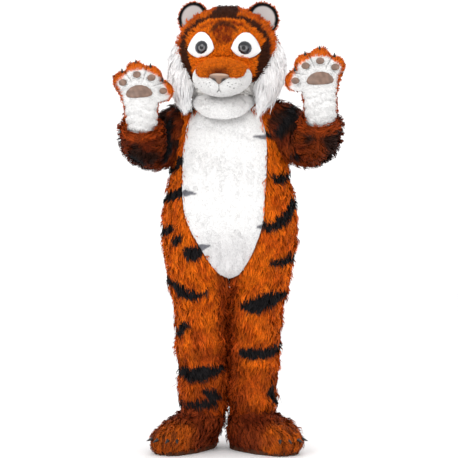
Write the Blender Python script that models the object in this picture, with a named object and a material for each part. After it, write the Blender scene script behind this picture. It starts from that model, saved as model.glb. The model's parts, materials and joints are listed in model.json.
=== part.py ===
"""Tiger mascot costume, empty, in the pose it is worn in: body suit, head, two mitts and two boots.

Tables are in millimetres, with heights above the floor. +X is the wearer's left and the front faces -Y.
The origin is on the shoulder line, where the wearer's shoulders carry the suit.
"""

import math
from bisect import bisect_right

import bmesh
import bpy
from mathutils import Matrix, Vector

MM = 0.001
SHOULDER_HEIGHT = 1430.0  # of the origin above the floor
SEAM = 0.3  # between pieces that are sewn or glued together
FUR_WALL = 8.0  # backing and pressed pile of the long fur
PLUSH_WALL = 4.0  # short plush
FOAM_WALL = 13.0  # plush glued on the head's foam
SIDES = {"left": 1, "right": -1}  # the wearer's own sides

MATERIALS = {  # name: (red, green, blue, roughness, metallic)
    "orange_fur": (0.60, 0.13, 0.01, 0.9, 0.0),
    "dark_fur": (0.13, 0.02, 0.006, 0.9, 0.0),
    "white_plush": (0.82, 0.81, 0.80, 0.9, 0.0),
    "white_fur": (0.80, 0.79, 0.78, 0.9, 0.0),
    "brown_vinyl": (0.24, 0.13, 0.085, 0.45, 0.0),
    "black_claw": (0.012, 0.011, 0.011, 0.35, 0.0),
    "eye_plastic": (0.05, 0.05, 0.06, 0.15, 0.0),
    "sole_foam": (0.03, 0.03, 0.03, 0.8, 0.0),
    "zip_tape": (0.35, 0.09, 0.02, 0.8, 0.0),
    "zip_metal": (0.55, 0.55, 0.56, 0.35, 1.0),
}


# ---------------------------------------------------------------- tables and small sums

def table(names, rows):
    """Named columns, sorted by the first one, which the others are looked up by."""
    ordered = sorted(rows)
    return {name: [row[i] for row in ordered] for i, name in enumerate(names.split())}


def slope(places, values, i):
    """The slope of the smooth line at a row, level where the values turn back."""
    if i == 0:
        return (values[1] - values[0]) / (places[1] - places[0])
    before = (values[i] - values[i - 1]) / (places[i] - places[i - 1])
    if i == len(places) - 1:
        return before
    after = (values[i + 1] - values[i]) / (places[i + 1] - places[i])
    if before * after <= 0.0:
        return 0.0
    return 2.0 * before * after / (before + after)


def read(columns, name, place):
    """A column's value on a smooth line through the table's rows."""
    places = next(iter(columns.values()))
    values = columns[name]
    if place <= places[0]:
        return values[0]
    if place >= places[-1]:
        return values[-1]
    i = bisect_right(places, place) - 1
    span = places[i + 1] - places[i]
    s = (place - places[i]) / span
    bend = span * s * (1.0 - s)
    straight = values[i] + (values[i + 1] - values[i]) * s * s * (3.0 - 2.0 * s)
    return straight + bend * ((1.0 - s) * slope(places, values, i) - s * slope(places, values, i + 1))


def ease(amount):
    """0 to 1 with level ends."""
    amount = min(max(amount, 0.0), 1.0)
    return amount * amount * (3.0 - 2.0 * amount)


def mix(first, second, share):
    return first + (second - first) * share


def steps(first, last, count):
    return [mix(first, last, i / count) for i in range(count + 1)]


def bands(rows):
    """Heights in bands of (low, high, count), each band's low end shared with the one below."""
    return [rows[0][0]] + [height for low, high, count in rows for height in steps(low, high, count)[1:]]


# ---------------------------------------------------------------- scene, materials, meshes

for old in list(bpy.data.objects):
    bpy.data.objects.remove(old, do_unlink=True)

PIECES = bpy.data.collections.new("tiger_mascot_costume")
CUTTERS = bpy.data.collections.new("cutters")
for group in (PIECES, CUTTERS):
    bpy.context.scene.collection.children.link(group)


def material(name):
    found = bpy.data.materials.get(name)
    if found:
        return found
    red, green, blue, roughness, metallic = MATERIALS[name]
    made = bpy.data.materials.new(name)
    made.use_nodes = True
    shader = made.node_tree.nodes["Principled BSDF"]
    shader.inputs["Base Color"].default_value = (red, green, blue, 1.0)
    shader.inputs["Roughness"].default_value = roughness
    shader.inputs["Metallic"].default_value = metallic
    return made


def metres(point):
    return Vector((point.x, point.y, point.z - SHOULDER_HEIGHT)) * MM


def as_is(point):
    return point


def new_piece(bm, name, finish=None):
    """An object from a bmesh, closed and facing out; one with no finish is a cutter."""
    bmesh.ops.remove_doubles(bm, verts=bm.verts, dist=1e-7)
    bmesh.ops.triangulate(bm, faces=bm.faces, quad_method="FIXED")
    bmesh.ops.recalc_face_normals(bm, faces=bm.faces)
    mesh = bpy.data.meshes.new(name)
    bm.to_mesh(mesh)
    bm.free()
    piece = bpy.data.objects.new(name, mesh)
    if finish is None:
        CUTTERS.objects.link(piece)
        piece.hide_render = True
        piece.display_type = "WIRE"
        return piece
    mesh.materials.append(material(finish))
    mesh.shade_smooth()
    PIECES.objects.link(piece)
    return piece


def combine(piece, other, operation="DIFFERENCE"):
    modifier = piece.modifiers.new(f"{operation.lower()}_{other.name}", "BOOLEAN")
    modifier.operation = operation
    modifier.object = other
    modifier.solver = "EXACT"
    return piece


def skin(bm, grid, closed):
    """Faces over a grid of vertices; a closed one joins its last column to its first."""
    width = len(grid[0])
    for low, high in zip(grid, grid[1:]):
        for j in range(width if closed else width - 1):
            k = (j + 1) % width
            corners = list(dict.fromkeys((low[j], low[k], high[k], high[j])))
            if len(corners) > 2:
                bm.faces.new(corners)


def row_of(bm, points, peak=False):
    """A row's vertices, all one vertex where the row is a peak."""
    if peak:
        return [bm.verts.new(metres(points[0]))] * len(points)
    return [bm.verts.new(metres(point)) for point in points]


def wall(name, finish, rows, turns, layer, thickness, place=as_is, closed=False, peak=False, lift=0.0):
    """A wall of cloth: turns(row) are its columns and layer(row, turn, lift) the points of its faces."""
    bm = bmesh.new()
    faces = []
    for depth in (lift, lift - thickness):
        grid = []
        for row in rows:
            points = [place(layer(row, turn, depth)) for turn in turns(row)]
            grid.append(row_of(bm, points, peak and row == rows[-1]))
        skin(bm, grid, closed)
        faces.append(grid)
    outer, inner = faces
    rims = [0] if peak else [0, -1]
    for i in rims:
        skin(bm, [outer[i], inner[i]], closed)
    if not closed:
        for j in (0, -1):
            skin(bm, [[row[j] for row in outer], [row[j] for row in inner]], False)
    return new_piece(bm, name, finish)


def solid(name, finish, rows, turns, layer, place=as_is, lift=0.0, peaks=(False, False)):
    """A closed body through rings of points, with a peak or a flat cap at each end."""
    bm = bmesh.new()
    grid = []
    for i, row in enumerate(rows):
        points = [place(layer(row, turn, lift)) for turn in turns(row)]
        is_peak = peaks[0] if i == 0 else peaks[1] and i == len(rows) - 1
        grid.append(row_of(bm, points, is_peak))
    skin(bm, grid, True)
    for ring, is_peak in ((grid[0], peaks[0]), (grid[-1], peaks[1])):
        if not is_peak:
            middle = bm.verts.new(sum((vertex.co for vertex in ring), Vector()) / len(ring))
            skin(bm, [ring, [middle] * len(ring)], True)
    return new_piece(bm, name, finish)


def around(count, first=0.0, last=1.0):
    """The turns of a closed ring."""
    return [mix(first, last, i / count) for i in range(count)]


class Form:
    """A smooth surface round a middle line, with its own outward direction at every point."""

    def __init__(self, point, middle, row_step, turn_step, row_range):
        self.point = point
        self.middle = middle
        self.row_step = row_step
        self.turn_step = turn_step
        self.row_range = row_range

    def normal(self, row, turn):
        low, high = self.row_range
        row = min(max(row, low + self.row_step), high - self.row_step)
        along = self.point(row + self.row_step, turn) - self.point(row - self.row_step, turn)
        across = self.point(row, turn + self.turn_step) - self.point(row, turn - self.turn_step)
        out = along.cross(across).normalized()
        return out if out.dot(self.point(row, turn) - self.middle(row)) > 0.0 else -out

    def layer(self, row, turn, lift):
        return self.point(row, turn) + self.normal(row, turn) * lift


# ---------------------------------------------------------------- body suit

TORSO = table("height half_width front back", [
    (600, 250, 146, 150),
    (752, 258, 150, 150),
    (853, 275, 165, 152),
    (930, 279, 172, 148),
    (1004, 277, 172, 142),
    (1080, 258, 165, 140),
    (1156, 244, 155, 140),
    (1240, 235, 142, 136),
    (1320, 232, 130, 130),
    (1380, 229, 120, 124),
    (1415, 220, 112, 120),
    (1432, 200, 106, 116),
    (1444, 165, 98, 110),
    (1452, 125, 88, 100),
    (1460, 96, 80, 92),
])
LEG = table("height inner outer front back", [
    (163, 10, 200, 105, 110),
    (205, 8, 203, 106, 110),
    (247, 8, 203, 108, 110),
    (348, 6, 205, 110, 112),
    (449, 5, 219, 115, 118),
    (550, 4, 219, 118, 122),
    (651, 4, 235, 128, 132),
    (700, 3, 247, 135, 140),
    (770, 3, 258, 142, 146),
])
BELLY = table("height half_width", [
    (712, 4),
    (724, 34),
    (736, 48),
    (760, 64),
    (785, 83),
    (810, 98),
    (860, 122),
    (904, 143),
    (928, 155),
    (977, 167),
    (1051, 172),
    (1100, 178),
    (1246, 178),
    (1295, 175),
    (1344, 163),
    (1393, 146),
    (1406, 132),
    (1419, 112),
    (1432, 94),
    (1460, 60),
])
SUIT_FOLDS = [  # side, height, turn, rise, tall, wide: soft rolls where the legs and the seat bag
    (1, 372, 0.20, 6, 22, 0.14),
    (-1, 356, 0.30, 6, 24, 0.15),
    (1, 196, 0.30, 5, 16, 0.20),
    (-1, 204, 0.22, 5, 18, 0.20),
    (1, 640, 0.84, 7, 34, 0.10),
    (-1, 628, 0.84, 7, 34, 0.10),
    (1, 846, 0.72, 6, 30, 0.14),
    (-1, 838, 0.72, 6, 30, 0.14),
]
HEM = 163.0
NECK = 1460.0
CROTCH_TOP = 760.0  # where the centre lines start to turn in between the legs
CROTCH_LOW = 600.0  # where each leg is a tube of its own
SQUARENESS = 0.85  # of the torso's rings: 1 is an ellipse
BELLY_TIP = 712.0
EDGE_TURN = 0.02  # nearer the centre lines than this, the cloth faces the way it does here
SEAM_TURN = 0.0002
CHEST_TURN = math.radians(-12.0)  # the chest is turned towards the wearer's right
CHEST_TURN_LOW = 700.0
CHEST_TURN_HIGH = 1100.0
LEGS_ASIDE = -10.0  # the feet stand this far towards the wearer's right
SUIT_ROWS = bands([
    (HEM, 600, 6), (600, BELLY_TIP, 4), (BELLY_TIP, 760, 3), (760, 860, 3), (860, 1080, 4),
    (1080, 1380, 4), (1380, 1432, 3), (1432, NECK, 3),
])
PANEL_COLUMNS = 6
BELLY_COLUMNS = 7
SLOT_LOW = 785.0  # of the opening for the zip
SLOT_HIGH = 1406.0
SLOT_HALF = 8.0
SLOT_TAPER = 13.0


def legs_share(height):
    return ease((CROTCH_TOP - height) / (CROTCH_TOP - CROTCH_LOW))


def suit_middle(height):
    share = legs_share(height)
    return Vector((share * 0.5 * (read(LEG, "inner", height) + read(LEG, "outer", height)), 0.0, height))


def suit_ring(height, turn):
    """One half of the suit, flat to its own front: turn 0 is the centre front, 0.5 the side, 1 the back."""
    mirrored = -1.0 if turn < 0.0 or turn > 1.0 else 1.0
    turn = abs(turn) if turn < 0.0 else turn if turn <= 1.0 else 2.0 - turn
    half = math.pi * turn
    face = "front" if turn < 0.5 else "back"
    torso_x = read(TORSO, "half_width", height) * max(math.sin(half), 0.0) ** SQUARENESS
    torso_y = math.copysign(read(TORSO, face, height) * abs(math.cos(half)) ** SQUARENESS, turn - 0.5)
    inner, outer = read(LEG, "inner", height), read(LEG, "outer", height)
    leg_x = 0.5 * (inner + outer) - 0.5 * (outer - inner) * math.cos(2.0 * half)
    leg_y = -read(LEG, face, height) * math.sin(2.0 * half)
    share = legs_share(height)
    return Vector((mirrored * mix(torso_x, leg_x, share), mix(torso_y, leg_y, share), height))


def suit_form(side):
    """The suit's surface with the folds of one side."""
    folds = [fold[1:] for fold in SUIT_FOLDS if fold[0] == side]

    def point(height, turn):
        flat = suit_ring(height, turn)
        rise = sum(
            up * math.exp(-((height - at) / tall) ** 2 - ((abs(turn) - middle) / wide) ** 2)
            for at, middle, up, tall, wide in folds
        )
        return flat + (flat - suit_middle(height)).normalized() * rise

    return Form(point, suit_middle, 4.0, 0.01, (HEM, NECK))


SUIT = {side: suit_form(sign) for side, sign in SIDES.items()}


def panel_layer(side):
    """Points of a front or back panel: at the centre lines they stay clear of the other half."""
    form = SUIT[side]

    def layer(height, turn, lift):
        facing = form.normal(height, min(max(turn, EDGE_TURN), 1.0 - EDGE_TURN))
        if not EDGE_TURN < turn < 1.0 - EDGE_TURN:
            facing = facing.lerp(Vector((-1.0, 0.0, 0.0)), legs_share(height)).normalized()
        point = form.point(height, turn) + facing * lift
        point.x = max(point.x, 0.5 * SEAM)
        return point

    return layer


def worn(side=1):
    """The suit's points as worn: the half mirrored to its side, and the chest turned."""
    def place(point):
        turned = CHEST_TURN * ease((point.z - CHEST_TURN_LOW) / (CHEST_TURN_HIGH - CHEST_TURN_LOW))
        aside = LEGS_ASIDE * (1.0 - ease((point.z - HEM) / (CHEST_TURN_HIGH - HEM)))
        return Matrix.Rotation(turned, 3, "Z") @ Vector((side * point.x + aside, point.y, point.z))

    return place


def turn_at(height, across, low, high):
    """The turn between low and high at which the ring is this far from its centre line."""
    rising = suit_ring(height, high).x > suit_ring(height, low).x
    for _ in range(40):
        middle = 0.5 * (low + high)
        if (suit_ring(height, middle).x < across) == rising:
            low = middle
        else:
            high = middle
    return 0.5 * (low + high)


def belly_edge(height):
    """How far the belly's seam is from the centre line; below its tip the two front panels meet."""
    return read(BELLY, "half_width", height) if height >= BELLY_TIP else 0.0


def slot_edge(height):
    inside = min((height - SLOT_LOW) / SLOT_TAPER, (SLOT_HIGH - height) / SLOT_TAPER, 1.0)
    return SLOT_HALF * max(inside, 0.0)


def front_turns(height):
    edge = belly_edge(height)
    first = turn_at(height, edge + SEAM, 0.0, 0.4) if edge else SEAM_TURN
    return steps(first, 0.5 - SEAM_TURN, PANEL_COLUMNS)


def back_turns(height):
    edge = slot_edge(height)
    last = turn_at(height, edge, 0.6, 1.0) if edge else 1.0 - SEAM_TURN
    return steps(0.5 + SEAM_TURN, last, PANEL_COLUMNS)


def belly_turns(height):
    edge = turn_at(height, belly_edge(height) - SEAM, 0.0, 0.4)
    return steps(-edge, edge, BELLY_COLUMNS)


BELLY_FORM = Form(suit_ring, suit_middle, 4.0, 0.01, (HEM, NECK))
BELLY_ROWS = [BELLY_TIP + SEAM] + [height for height in SUIT_ROWS if height > BELLY_TIP]
wall("belly", "white_plush", BELLY_ROWS, belly_turns, BELLY_FORM.layer, PLUSH_WALL, worn())

panels = {}
for side, sign in SIDES.items():
    for face, turns in (("front", front_turns), ("back", back_turns)):
        panels[face, side] = wall(
            f"{face}_{side}", "orange_fur", SUIT_ROWS, turns, panel_layer(side), FUR_WALL, worn(sign)
        )


# ---------------------------------------------------------------- sleeves

SLEEVE_PATHS = {  # x, y, height, radius of the bend there
    "left": [(112, -26, 1356, 0), (226, -50, 1360, 104), (368, -98, 1178, 96), (360, -225, 1362, 0)],
    "right": [(-112, 26, 1356, 0), (-224, 46, 1360, 104), (-366, -10, 1178, 96), (-364, -130, 1345, 0)],
}
SLEEVE = table("place radius inside", [  # inside is the radius on the hollow side of the elbow
    (0.0, 72, 72),
    (0.20, 98, 86),
    (0.32, 97, 78),
    (0.60, 99, 74),
    (0.82, 90, 80),
    (1.0, 80, 80),
])
SLEEVE_SIDES = 14
ARC_STEP = math.radians(24.0)
STRAIGHT_STEP = 55.0
CLOSEST_STEP = 18.0
TORSO_CORE_ROWS = bands([(1150, 1380, 5), (1380, 1432, 4), (1432, 1452, 3)])


def rounded_line(corners):
    """Points along a line whose corners are rounded to arcs."""
    spots = [Vector(corner[:3]) for corner in corners]
    line = [spots[0]]
    for i in range(1, len(spots) - 1):
        radius = corners[i][3]
        into = (spots[i] - spots[i - 1]).normalized()
        out = (spots[i + 1] - spots[i]).normalized()
        bend = into.angle(out)
        start = spots[i] - into * radius * math.tan(0.5 * bend)
        centre = start + (out - into * into.dot(out)).normalized() * radius
        axis = into.cross(out)
        count = max(2, math.ceil(bend / ARC_STEP))
        line += [
            centre + Matrix.Rotation(turn, 3, axis) @ (start - centre) for turn in steps(0.0, bend, count)
        ]
    line.append(spots[-1])
    filled = [line[0]]
    for spot in line[1:]:
        if (spot - filled[-1]).length < CLOSEST_STEP:
            continue
        count = max(1, round((spot - filled[-1]).length / STRAIGHT_STEP))
        filled += [filled[-1].lerp(spot, share) for share in steps(0.0, 1.0, count)[1:]]
    return filled


def sleeve_layer(side):
    """Rings across the arm's line, wider at the shoulder."""
    line = rounded_line(SLEEVE_PATHS[side])
    lengths = [0.0]
    for first, second in zip(line, line[1:]):
        lengths.append(lengths[-1] + (second - first).length)
    shoulder, elbow, wrist = [Vector(corner[:3]) for corner in SLEEVE_PATHS[side][1:]]
    flat = (elbow - shoulder).cross(wrist - elbow)
    rings = []
    for i, spot in enumerate(line):
        along = (line[min(i + 1, len(line) - 1)] - line[max(i - 1, 0)]).normalized()
        across = (flat - along * flat.dot(along)).normalized()
        place = lengths[i] / lengths[-1]
        sizes = (read(SLEEVE, "radius", place), read(SLEEVE, "inside", place))
        rings.append((spot, across, along.cross(across), sizes))

    def layer(row, turn, lift):
        spot, across, outward, (radius, inside) = rings[row]
        angle = 2.0 * math.pi * turn
        depth = radius if math.sin(angle) > 0.0 else inside
        spot = spot + across * math.cos(angle) * (radius + lift)
        return spot + outward * math.sin(angle) * (depth + lift)

    return layer, range(len(line))


def torso_core_turns(_height):
    return steps(0.0, 1.0, 20) + [-turn for turn in steps(0.05, 0.95, 18)][::-1]


def torso_core_layer(height, turn, lift):
    form = SUIT["left"]
    point = form.point(height, abs(turn)) + form.normal(height, min(max(abs(turn), 0.01), 0.99)) * lift
    return Vector((math.copysign(max(point.x, 0.0), turn) if turn else 0.0, point.y, point.z))


torso_core = solid(
    "torso_core", None, TORSO_CORE_ROWS, torso_core_turns, torso_core_layer, worn(), -FUR_WALL
)
for side in SIDES:
    layer, rows = sleeve_layer(side)
    ring = around(SLEEVE_SIDES)
    sleeve = wall(f"sleeve_{side}", "dark_fur", rows, lambda row: ring, layer, FUR_WALL, closed=True)
    combine(sleeve, torso_core)
    armhole = solid(f"armhole_{side}", None, rows, lambda row: ring, layer, lift=SEAM)
    for face in ("front", "back"):
        combine(panels[face, side], armhole)


# ---------------------------------------------------------------- zip in the centre back

ZIP_LOW = 790.0
ZIP_HIGH = 1400.0
ZIP_ROWS = [ZIP_LOW] + [height for height in SUIT_ROWS if ZIP_LOW < height < ZIP_HIGH] + [ZIP_HIGH]
TAPE_HALF = 15.0
TAPE_THICK = 1.6
CHAIN_HALF = 3.0
CHAIN_RISE = 2.0
TAPE_DEPTH = FUR_WALL + 1.0  # of the tape's face below the panels' outer faces
SLIDER_HEIGHT = 1376.0
SLIDER = (11.0, 17.0)  # width and height
SLIDER_BASE = CHAIN_RISE + SEAM  # above the tape
SLIDER_TOP = SLIDER_BASE + 2.6
POST_WIDTH = 1.8
POST_INSET = 0.5
POST_OUT = 4.0
PIN_RADIUS = 1.0
PIN_OUT = 7.9
EYE_RADIUS = 2.5
EYE_BORE = 1.3
TAB_LENGTH = 34.0
TAB_HALF = 3.8
TAB_NECK_HALF = 1.9
TAB_THICK = 1.6


def zip_layer(height, across, lift):
    """Points under the slot: across is in millimetres from the centre back."""
    on_ring = turn_at(height, abs(across), 0.6, 1.0) if across else 1.0
    point = BELLY_FORM.point(height, on_ring)
    point.x = -abs(point.x) if across < 0.0 else abs(point.x)
    facing = BELLY_FORM.normal(height, 1.0)
    rise = CHAIN_RISE if lift >= 0.0 and abs(across) <= CHAIN_HALF else 0.0
    return point + facing * (lift - TAPE_DEPTH + rise)


ZIP_COLUMNS = [-TAPE_HALF, -CHAIN_HALF - 0.5, -CHAIN_HALF, CHAIN_HALF, CHAIN_HALF + 0.5, TAPE_HALF]
wall("zip_tape", "zip_tape", ZIP_ROWS, lambda height: ZIP_COLUMNS, zip_layer, TAPE_THICK, worn())

slider_place = worn()
slider_origin = slider_place(zip_layer(SLIDER_HEIGHT, 0.0, -1e-9))
slider_out = Matrix.Rotation(CHEST_TURN, 3, "Z") @ BELLY_FORM.normal(SLIDER_HEIGHT, 1.0)
slider_right = Matrix.Rotation(CHEST_TURN, 3, "Z") @ Vector((1.0, 0.0, 0.0))
slider_up = slider_right.cross(slider_out)


def by_slider(right, out, up):
    """Millimetres to the right, out of the back and up, from the tape behind the slider."""
    return slider_origin + slider_right * right + slider_out * out + slider_up * up


def prism(name, finish, outline, place):
    """A flat outline with depth: place(a, b, 0 or 1) gives the points of its two faces."""
    bm = bmesh.new()
    rings = [[bm.verts.new(metres(place(a, b, end))) for a, b in outline] for end in (0, 1)]
    skin(bm, rings, True)
    for ring in rings:
        bm.faces.new(ring)
    return new_piece(bm, name, finish)


def box(name, finish, right, out, up):
    """A block by its low and high reach to the right, out and up, in the slider's own directions."""
    corners = [(right[0], up[0]), (right[1], up[0]), (right[1], up[1]), (right[0], up[1])]
    return prism(name, finish, corners, lambda a, b, end: by_slider(a, out[end], b))


def pin_ring(radius, count, width):
    """A round bar along the hinge line, from side to side."""
    turns = around(count, 0.0, 2.0 * math.pi)
    circle = [(radius * math.cos(turn), radius * math.sin(turn)) for turn in turns]
    return circle, lambda a, b, end: by_slider(width * (end - 0.5), PIN_OUT + a, b)


half_width, half_height = 0.5 * SLIDER[0], 0.5 * SLIDER[1]
slider = box(
    "zip_slider", "zip_metal",
    (-half_width, half_width), (SLIDER_BASE, SLIDER_TOP), (-half_height, half_height),
)
for sign in (-1, 1):
    reach = sorted((sign * (half_width - POST_INSET), sign * (half_width - POST_INSET - POST_WIDTH)))
    rise = (SLIDER_TOP - 1.0, PIN_OUT + PIN_RADIUS + 0.6)
    post = box(f"post_{sign}", None, reach, rise, (-POST_OUT, POST_OUT))
    combine(slider, post, "UNION")
bar_outline, bar_place = pin_ring(PIN_RADIUS, 10, SLIDER[0] - 2.0 * POST_INSET - POST_WIDTH)
combine(slider, prism("pin", None, bar_outline, bar_place), "UNION")

eye_outline, eye_place = pin_ring(EYE_RADIUS, 12, 2.0 * TAB_NECK_HALF)
pull = prism("zip_pull", "zip_metal", eye_outline, eye_place)
tab_outline = [
    (-TAB_NECK_HALF, -1.6), (-TAB_NECK_HALF, -10.0), (-TAB_HALF, -14.0), (-TAB_HALF, 3.0 - TAB_LENGTH),
    (3.0 - TAB_HALF, -TAB_LENGTH), (TAB_HALF - 3.0, -TAB_LENGTH), (TAB_HALF, 3.0 - TAB_LENGTH),
    (TAB_HALF, -14.0), (TAB_NECK_HALF, -10.0), (TAB_NECK_HALF, -1.6),
]
tab = prism(
    "tab", None, tab_outline, lambda a, b, end: by_slider(a, PIN_OUT + TAB_THICK * (end - 0.5), b)
)
combine(pull, tab, "UNION")
bore_outline, bore_place = pin_ring(EYE_BORE, 12, 4.0 * TAB_NECK_HALF)
combine(pull, prism("bore", None, bore_outline, bore_place))


# ---------------------------------------------------------------- head

HEAD = table("height half_width front back", [
    (1400, 160, 150, 166),
    (1425, 152, 148, 162),
    (1450, 140, 142, 154),
    (1470, 135, 138, 150),
    (1500, 158, 158, 168),
    (1540, 181, 176, 187),
    (1580, 195, 188, 198),
    (1620, 203, 194, 204),
    (1660, 207, 196, 206),
    (1700, 202, 191, 203),
    (1740, 189, 178, 191),
    (1780, 163, 152, 165),
    (1810, 124, 115, 126),
    (1832, 78, 72, 80),
    (1841, 40, 38, 42),
    (1845, 0, 0, 0),
])
HEAD_TOP = 1845.0
HEAD_RIM = 1470.0  # of the opening at the front and sides
NAPE_RIM = 1425.0  # of the fur that hangs over the suit's neck at the back
HEAD_SHARES = [0.0, 0.08, 0.17, 0.28, 0.40, 0.52, 0.64, 0.75, 0.85, 0.93, 0.98, 1.0]
HEAD_COLUMNS = 22
HEAD_AXIS = Vector((-10.0, 0.0, 1650.0))
HEAD_YAW = math.radians(-6.0)
HEAD_ROLL = math.radians(1.5)
HEAD_SPLIT = 26.0  # the seam between the face and the back of the head


def head_place(point):
    turned = Matrix.Rotation(HEAD_ROLL, 3, "Y") @ Matrix.Rotation(HEAD_YAW, 3, "Z")
    return HEAD_AXIS + turned @ Vector((point.x, point.y, point.z - HEAD_AXIS.z))


def oval(half_width, front, back, turn, height):
    angle = 2.0 * math.pi * turn
    depth = front if math.cos(angle) > 0.0 else back
    return Vector((half_width * math.sin(angle), -depth * math.cos(angle), height))


def head_point(height, turn):
    """The head's surface: turn 0 is the middle of the face, 0.25 the wearer's left, 0.5 the back."""
    sizes = (read(HEAD, name, height) for name in ("half_width", "front", "back"))
    return oval(*sizes, turn, height)


def head_height(share, turn):
    """The height of a row, which hangs lower at the nape."""
    from_side = abs((turn % 1.0) - 0.5)
    rim = mix(NAPE_RIM, HEAD_RIM, ease(from_side / 0.22))
    return mix(rim, HEAD_TOP, share)


HEAD_FORM = Form(
    head_point, lambda height: Vector((0.0, 0.0, min(height, 1640.0))), 2.0, 0.01, (1400, HEAD_TOP - 1.0)
)


def head_layer(share, turn, lift):
    if share == 1.0:
        return Vector((0.0, 0.0, HEAD_TOP + lift))
    return HEAD_FORM.layer(head_height(share, turn), turn, lift)


def half_space(name, corners, width=330.0):
    """A big block from an outline seen from the side, (y, height) around it, in the head's frame."""
    return prism(name, None, corners, lambda a, b, end: head_place(Vector((width * (2 * end - 1), a, b))))


head_ring = around(HEAD_COLUMNS)
head_core = solid(
    "head_core", None, HEAD_SHARES, lambda share: head_ring, head_layer, head_place, SEAM, (False, True)
)
for name, near, far in (("head_face", HEAD_SPLIT, 400.0), ("head_back", HEAD_SPLIT + SEAM, -400.0)):
    shell = wall(
        name, "orange_fur", HEAD_SHARES, lambda share: head_ring, head_layer, FOAM_WALL, head_place,
        closed=True, peak=True,
    )
    block = half_space(f"block_{name}", [(near, 1300), (far, 1300), (far, 1950), (near, 1950)])
    combine(shell, block)
head_face = bpy.data.objects["head_face"]


# ---------------------------------------------------------------- muzzle, bridge and nose

MUZZLE = table("reach half_width top bottom middle", [
    (110, 108, 84, 52, 1536),
    (130, 114, 86, 60, 1536),
    (150, 119, 84, 67, 1535),
    (180, 122, 79, 76, 1532),
    (210, 118, 73, 79, 1528),
    (238, 107, 64, 75, 1523),
    (262, 89, 52, 64, 1518),
    (280, 63, 34, 46, 1513),
    (289, 36, 18, 26, 1511),
    (292, 0, 0, 0, 1510),
])
MUZZLE_ROWS = [115, 160, 200, 232, 260, 280, 289, 292]
MUZZLE_COLUMNS = 18
MUZZLE_WALL = 10.0
BRIDGE = table("reach half_turn", [
    (134, 0.160),
    (180, 0.158),
    (215, 0.165),
    (235, 0.180),
    (250, 0.203),
    (262, 0.222),
    (274, 0.222),
    (289, 0.190),
])
BRIDGE_ROWS = [134, 175, 212, 236, 252, 264, 275, 284, 289]
BRIDGE_COLUMNS = 7
BRIDGE_WALL = 6.0
BRIDGE_SUNK = 3.0  # the blank is this much thicker, before it is fitted to the muzzle
NOSE_SIZE = Vector((105.0, 36.0, 44.0))
NOSE_AT = Vector((0.0, -289.0, 1514.0))
NOSE_TAPER = 0.42  # of its width, from top to bottom


def muzzle_middle(reach):
    return Vector((0.0, -min(reach, 270.0), read(MUZZLE, "middle", reach)))


def muzzle_point(reach, turn):
    """The muzzle's surface: turn 0 is its top and 0.25 the wearer's left."""
    angle = 2.0 * math.pi * turn
    side = read(MUZZLE, "top" if math.cos(angle) > 0.0 else "bottom", reach)
    across = read(MUZZLE, "half_width", reach) * math.sin(angle)
    return Vector((across, -reach, read(MUZZLE, "middle", reach) + side * math.cos(angle)))


MUZZLE_FORM = Form(muzzle_point, muzzle_middle, 1.5, 0.01, (100, 292))


def muzzle_layer(reach, turn, lift):
    if reach == MUZZLE_ROWS[-1]:
        return muzzle_point(reach, 0.0) + Vector((0.0, -lift, 0.0))
    return MUZZLE_FORM.layer(reach, turn, lift)


muzzle_ring = around(MUZZLE_COLUMNS)
muzzle = wall(
    "muzzle", "white_plush", MUZZLE_ROWS, lambda reach: muzzle_ring, muzzle_layer, MUZZLE_WALL, head_place,
    closed=True, peak=True,
)
combine(muzzle, head_core)
muzzle_core = solid(
    "muzzle_core", None, MUZZLE_ROWS, lambda reach: muzzle_ring, muzzle_layer, head_place, SEAM, (False, True)
)
muzzle_hollow = solid(
    "muzzle_hollow", None, [60] + MUZZLE_ROWS, lambda reach: muzzle_ring, muzzle_layer, head_place,
    -MUZZLE_WALL - SEAM, (False, True),
)
combine(head_face, muzzle_hollow)


def bridge_turns(reach):
    half = read(BRIDGE, "half_turn", reach)
    return steps(-half, half, BRIDGE_COLUMNS)


bridge = wall(
    "muzzle_bridge", "orange_fur", BRIDGE_ROWS, bridge_turns, MUZZLE_FORM.layer,
    BRIDGE_WALL + BRIDGE_SUNK, head_place, lift=BRIDGE_WALL + SEAM,
)
combine(bridge, head_core)
combine(bridge, muzzle_core)


def nose_form(name, finish, lift):
    """A rounded wedge, broad at the top."""
    bm = bmesh.new()
    bmesh.ops.create_uvsphere(bm, u_segments=12, v_segments=8, radius=0.5)
    for vertex in bm.verts:
        spot = Vector(vertex.co)
        broad = mix(NOSE_TAPER, 1.0, ease(spot.z + 0.5))
        square = Vector((math.copysign(abs(2.0 * spot.x) ** 0.75, spot.x) * 0.5 * broad, spot.y, spot.z))
        vertex.co = metres(head_place(NOSE_AT + square * NOSE_SIZE + spot.normalized() * lift))
    return new_piece(bm, name, finish)


combine(nose_form("nose", "brown_vinyl", 0.0), muzzle_core)
combine(bridge, nose_form("nose_core", None, 2.0 * SEAM))


# ---------------------------------------------------------------- eyes, ears, ruffs, bib

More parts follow.
